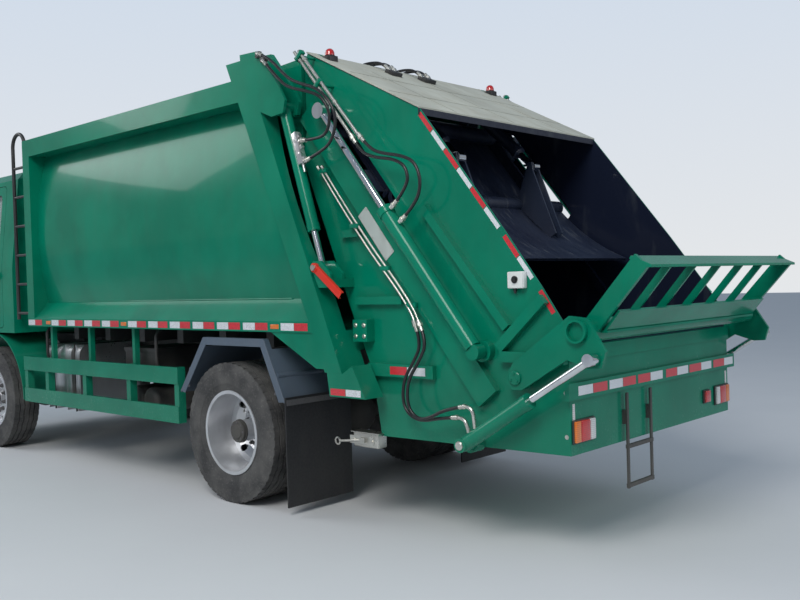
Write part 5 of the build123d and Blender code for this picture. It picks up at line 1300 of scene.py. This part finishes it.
# %% Cushions
ROUNDNESS = 7              # the power of the rounded box: 2 is a ball, more is squarer
CUTS = 18
CROWN = 0.16               # how far the top bulges, as a share of the half height
WAIST = 0.035              # how far a side pulls in between its corners
CHANNEL_AT = (-0.62, 0.0, 0.62)
CHANNEL_DEEP, CHANNEL_HALF = 0.035, 0.09


def rounded(*parts):
    """A point of a block, pulled in to the rounded box inside it."""
    length = sum(abs(c) ** ROUNDNESS for c in parts) ** (1 / ROUNDNESS)
    return [c / length for c in parts]


def cushion_form(form, half, place):
    """A stuffed block with half sizes half, put in place by a matrix; channels run across its top."""
    before = len(form.verts)
    made = bmesh.ops.create_cube(form, size=2)["verts"]
    edges = {edge for vert in made for edge in vert.link_edges}
    bmesh.ops.subdivide_edges(form, edges=list(edges), cuts=CUTS, use_grid_fill=True)
    form.verts.ensure_lookup_table()
    for vert in form.verts[before:]:
        u, v, w = rounded(*vert.co)
        if w > 0:
            dents = sum(max(0.0, 1 - abs(u - at) / CHANNEL_HALF) for at in CHANNEL_AT)
            w = w * (1 + CROWN * (1 - u * u) * (1 - v * v)) - CHANNEL_DEEP * dents * (1 - v ** 6)
        u *= 1 - WAIST * (1 - v * v)
        v *= 1 - WAIST * (1 - u * u)
        vert.co = place @ Vector((u * half[0], v * half[1], w * half[2]))
    return form


print("cushions ready")

# %% Piping
PIPING_STEPS = 64
PIPING_IN, PIPING_UP, PIPING_WAIST, PIPING_RADIUS = 0.955, 0.74, 0.03, 0.0045


def piping_form(form, half, place):
    """The sewn cord round a cushion's upper edge."""
    ring = []
    for step in range(PIPING_STEPS):
        turn = 2 * pi * step / PIPING_STEPS
        u, v = (c * PIPING_IN for c in rounded(cos(turn), sin(turn)))
        ring.append(place @ Vector((u * (1 - PIPING_WAIST * (1 - v * v)) * half[0],
                                    v * (1 - PIPING_WAIST * (1 - u * u)) * half[1], PIPING_UP * half[2])))
    tube_form(form, ring + ring[:2], PIPING_RADIUS, 8)


print("piping ready")

# %% Two seats
SEAT_YS = (0.560, -0.560)
BASE_HALF, BACK_HALF = (0.262, 0.232, 0.086), (0.325, 0.232, 0.064)
cushions, piping, stands = bmesh.new(), bmesh.new(), bmesh.new()
lean_back = Matrix.Rotation(-radians(10.5), 4, "Y")
for y in SEAT_YS:
    base = Matrix.Translation((3.075, y, 1.440))
    back = Matrix.Translation((2.795, y, 1.845)) @ lean_back @ Matrix.Rotation(radians(90), 4, "Y")
    for place, half in ((base, BASE_HALF), (back, BACK_HALF)):
        cushion_form(cushions, half, place)
        piping_form(piping, half, place)
    box_form(stands, (2.880, 3.280), (y - 0.180, y + 0.180), (1.211, 1.360))
    box_form(stands, (2.850, 3.310), (y - 0.215, y + 0.215), (1.352, 1.372))
soften(stands, 0.008, 2)
seats = piece("seat_cushions", cushions, "interior_dark", "cab", 60)
piece("seat_piping", piping, "black_plastic", "cab", 60)
piece("seat_stands", stands, "black_plastic", "cab")
print("two padded seats")

# %% [markdown]
# The dashboard is one moulding across the cab. Its section is drawn once as a face, extruded over the width, and its
# edges are rounded. The steering wheel's rim is a small circle spun about the column, which gives a true ring.

# %% Dashboard
DASH = ((3.860, 1.500), (3.782, 1.640), (3.800, 1.735), (3.830, 1.760), (4.072, 1.760), (4.092, 1.500))
DASH_HALF = 1.105
VENT_YS = (-0.85, -0.30, 0.20, 0.92)
form = bmesh.new()
section = form.faces.new([form.verts.new((x, -DASH_HALF, z)) for x, z in DASH])
grown = bmesh.ops.extrude_face_region(form, geom=[section], use_keep_orig=True)["geom"]
bmesh.ops.translate(form, vec=(0, 2 * DASH_HALF, 0), verts=[v for v in grown if isinstance(v, bmesh.types.BMVert)])
bmesh.ops.recalc_face_normals(form, faces=form.faces)
soften(form, 0.008, 3)
box_form(form, (3.885, 3.995), (-0.295, 0.295), (1.050, 1.502))
for y in VENT_YS:
    rod_form(form, (3.795, y, 1.690), (3.782, y, 1.6985), 0.038, 24)
dash = piece("dashboard", form, "black_plastic", "cab")
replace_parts(dash, "cab_interior")
print("dashboard with", len(VENT_YS), "round vents")

# %% Steering wheel
RIM_RADIUS, GRIP_RADIUS = 0.225, 0.0155
form = bmesh.new()
hub, rise = Vector((3.630, 0.560, 1.862)), Vector((-0.240, 0, 0.290)).normalized()
rod_form(form, (3.880, 0.560, 1.560), hub - rise * 0.010, 0.030, 20)
turns = [2 * pi * k / 12 for k in range(12)]
ring = [(GRIP_RADIUS * cos(t), RIM_RADIUS + GRIP_RADIUS * sin(t)) for t in turns]
spin_form(form, ring, tuple(hub), 48, tuple(rise))
rod_form(form, hub - rise * 0.014, hub + rise * 0.012, 0.060, 28, 0.050)
flat = rise.cross(Vector((0, 1, 0)))
for spoke in (Vector((0, 1, 0)), Vector((0, -1, 0)), flat, -flat):
    bar_form(form, hub + spoke * 0.045, hub + spoke * 0.220, 0.022, 0.010, tuple(rise.cross(spoke)))
piece("steering_wheel", form, "black_plastic", "cab", 50)
print("steering wheel")

# %% [markdown]
# The cab's outside fittings are thin plates and rods. Mirror glass lies on the rear face of each housing, a handle is
# a bar on two posts that swings with its door, and the wipers follow the windscreen's slope, so a helper gives points
# on that slope. The grille and the turn lamps lean back with the cab's nose.

# %% Mirror glass
MIRROR_X = (4.0385, 4.0405)
form = bmesh.new()
for y, z in (((1.262, 1.398), (2.042, 2.368)), ((1.272, 1.388), (1.862, 1.968))):
    box_form(form, MIRROR_X, y, z)
soften(form, 0.0007, 1)
piece("mirror_glass", both_sides(form), "chrome_rod", "cab")
print("glass in the two mirrors a side")

# %% Door handles
for side, sign in SIDES:
    form = bmesh.new()
    box_form(form, (2.790, 2.950), (sign * 1.2015, sign * 1.2045), (1.700, 1.770))
    box_form(form, (2.805, 2.935), (sign * 1.2140, sign * 1.2220), (1.722, 1.748))
    for x in (2.812, 2.928):
        rod_form(form, (x, sign * 1.2030, 1.735), (x, sign * 1.2160, 1.735), 0.009, 12)
    soften(form, 0.0012, 1)
    piece(f"{side}_handle", form, "black_plastic", f"{side}_door_body")
print("a handle on each door")

# %% Wipers
SCREEN_FOOT_X, SCREEN_FOOT_Z, SCREEN_LEAN = 4.112, 1.860, 0.2108


def on_screen(y, z, out):
    """A point in front of the sloping windscreen."""
    return Vector((SCREEN_FOOT_X - (z - SCREEN_FOOT_Z) * SCREEN_LEAN + out, y, z))


form = bmesh.new()
for y in (0.62, -0.30):
    rod_form(form, on_screen(y, 1.845, 0.000), on_screen(y, 1.845, 0.020), 0.016, 16)
    bar_form(form, on_screen(y, 1.850, 0.015), on_screen(y - 0.30, 2.150, 0.013), 0.014, 0.006)
    bar_form(form, on_screen(y - 0.08, 2.300, 0.008), on_screen(y - 0.46, 1.960, 0.008), 0.010, 0.010)
piece("wipers", form, "black_plastic", "cab")
print("two wipers")

# %% Grille and front turn lamps
CAB_NOSE_X, CAB_NOSE_Z, CAB_LEAN = 4.170, 1.200, 0.0424
GRILLE_HALF, GRILLE_LOW, GRILLE_HIGH = 0.640, 1.290, 1.580
GRILLE_EDGE, SLATS = 0.020, 5


def lean_with_cab(form):
    """The cab's front leans back as it rises, so what sits on it leans too."""
    for vert in form.verts:
        vert.co.x -= (vert.co.z - CAB_NOSE_Z) * CAB_LEAN
    return form


form = bmesh.new()
box_form(form, (CAB_NOSE_X - 0.002, CAB_NOSE_X + 0.003), (-GRILLE_HALF, GRILLE_HALF), (GRILLE_LOW, GRILLE_HIGH))
pitch = (GRILLE_HIGH - GRILLE_LOW - 2 * GRILLE_EDGE) / SLATS
for k in range(SLATS):
    low = GRILLE_LOW + GRILLE_EDGE + k * pitch
    box_form(form, (CAB_NOSE_X + 0.001, CAB_NOSE_X + 0.016), (-GRILLE_HALF + GRILLE_EDGE, GRILLE_HALF - GRILLE_EDGE),
             (low + 0.008, low + 0.036))
soften(form, 0.002, 1)
piece("cab_grille", lean_with_cab(form), "black_plastic", "cab")
form = bmesh.new()
box_form(form, (CAB_NOSE_X - 0.002, CAB_NOSE_X + 0.014), (0.930, 1.080), (1.400, 1.480))
soften(form, 0.005, 2)
piece("front_turn_lamps", both_sides(lean_with_cab(form)), "amber_lens", "cab")
print("grille with", SLATS, "slats and two turn lamps")

# %% [markdown]
# A headlamp is clear outside, so what shows is inside: two bright bowls with a bulb, in a dark shell, behind a clear
# cover. A bowl could be cut from a sphere, but its profile is deeper than that, so it is spun.

# %% Headlamps
BOWL = ((0.0, 0.001), (0.0, 0.018), (0.012, 0.040), (0.027, 0.058), (0.030, 0.062), (0.026, 0.062), (0.010, 0.043),
        (-0.002, 0.018), (-0.002, 0.001))        # (depth, radius)
BOWL_YS, BOWL_Z = (0.820, 0.980), 0.680
lamp_low, lamp_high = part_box("headlamps")
bowls, bezels = bmesh.new(), bmesh.new()
for y in BOWL_YS:
    spin_form(bowls, BOWL, (lamp_low.x + 0.006, y, BOWL_Z), 32, (1, 0, 0))
    rod_form(bowls, (lamp_low.x + 0.006, y, BOWL_Z), (lamp_low.x + 0.020, y, BOWL_Z), 0.009, 12)
piece("headlamp_bowls", both_sides(bowls), "chrome_rod", "chassis", 40)
box_form(bezels, (lamp_low.x - 0.0015, lamp_low.x + 0.003), (0.728, 1.072), (0.598, 0.762))
soften(bezels, 0.001, 1)
piece("headlamp_bezels", both_sides(bezels), "black_plastic", "chassis")
form = bmesh.new()
# The shell behind the bowls is on both sides; the left lamp has end walls and a divider too.
box_form(form, (lamp_low.x + 0.003, lamp_low.x + 0.0055), (0.737, 1.063), (0.607, 0.753))
both_sides(form)
for y0, y1 in ((0.7365, 0.7410), (1.0590, 1.0635), (0.8980, 0.9020)):
    box_form(form, (lamp_low.x + 0.003, lamp_high.x - 0.004), (y0, y1), (0.607, 0.753))
piece("headlamp_shells", form, "interior_dark", "chassis")
covers = bmesh.new()
box_form(covers, (lamp_high.x - 0.004, lamp_high.x - 0.0005), (0.7355, 1.0645), (0.6055, 0.7545))
soften(covers, 0.0015, 2)
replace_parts(piece("headlamp_covers", both_sides(covers), "lamp_clear", "chassis"), "headlamps")
print("two headlamps")

# %% [markdown]
# ## Floor and light
# The truck stands on a plain pale floor under soft studio light: one broad lamp high on the camera's left, a weaker
# one low on its right, one in front, and an even pale world. Small lamps would give hard shadows and burnt spots on
# the gloss paint, so each is an area lamp of several metres. The floor is stage, not part of the truck.

# %% Floor
FLOOR_HALF = 60.0
form = bmesh.new()
bmesh.ops.create_grid(form, x_segments=1, y_segments=1, size=FLOOR_HALF)
floor_mesh = bpy.data.meshes.new("floor")
form.to_mesh(floor_mesh)
form.free()
floor = bpy.data.objects.new("floor", floor_mesh)
scene.collection.objects.link(floor)
material, tree, shader, place = new_material("floor")
tree.links.new(mixed(tree, noise(tree, place, 1.2, 3.0), (0.60, 0.61, 0.62), (0.64, 0.65, 0.655)),
               shader.inputs["Base Color"])
shader.inputs["Roughness"].default_value = 0.75
floor.data.materials.append(material)
print("floor laid")

# %% Lamps
SOFT_SHINE = 0.35          # how much of a lamp shows in gloss paint


def area_lamp(name, place, aim, size, power, colour):
    """A square lamp of that size in metres and power in watts, turned to its aim."""
    data = bpy.data.lights.new(name, "AREA")
    data.size, data.energy, data.color = size, power, colour
    data.specular_factor = SOFT_SHINE
    lamp = bpy.data.objects.new(name, data)
    lamp.matrix_world = Matrix.Translation(place) @ towards(Vector(place) - Vector(aim))
    scene.collection.objects.link(lamp)


area_lamp("key", (-6.0, 9.0, 9.5), (-1.0, 0.5, 1.4), 5.0, 900, (1.0, 0.98, 0.95))
area_lamp("rear fill", (-12.0, -3.0, 5.0), (-2.5, 0.0, 1.5), 6.0, 220, (0.93, 0.96, 1.0))
area_lamp("front", (8.0, 5.0, 7.0), (2.0, 0.0, 1.5), 5.0, 260, (1.0, 1.0, 1.0))
print("three area lamps")

# %% [markdown]
# The world is a pale gradient from the horizon up. What the camera sees of it may be bright, but the light it sheds
# fills every shadow, so its strength depends on the kind of ray: bright to the camera and through glass, weaker as
# light, and weaker still in mirror images, which keeps the green deep.

# %% World
SEEN_STRENGTH, LIGHT_STRENGTH, MIRRORED_LESS = 0.95, 0.54, 0.14
world = bpy.data.worlds.new("pale studio")
scene.world = world
world.use_nodes = True
tree = world.node_tree
background = tree.nodes["Background"]
coordinates = tree.nodes.new("ShaderNodeTexCoord")
height = axis_of(tree, coordinates.outputs["Generated"], "Z")
sky = mixed(tree, spread(tree, height, 0.0, 0.55), (0.82, 0.84, 0.86), (0.55, 0.68, 0.86))
tree.links.new(sky, background.inputs["Color"])
paths = tree.nodes.new("ShaderNodeLightPath")
seen = arithmetic(tree, "MAXIMUM", paths.outputs["Is Camera Ray"], paths.outputs["Is Transmission Ray"])
strength = spread(tree, seen, 0, 1, LIGHT_STRENGTH, SEEN_STRENGTH)
mirrored = arithmetic(tree, "MULTIPLY", paths.outputs["Is Glossy Ray"], -MIRRORED_LESS)
tree.links.new(arithmetic(tree, "ADD", strength, mirrored), background.inputs["Strength"])
scene.view_settings.view_transform = "Standard"
print("pale world")
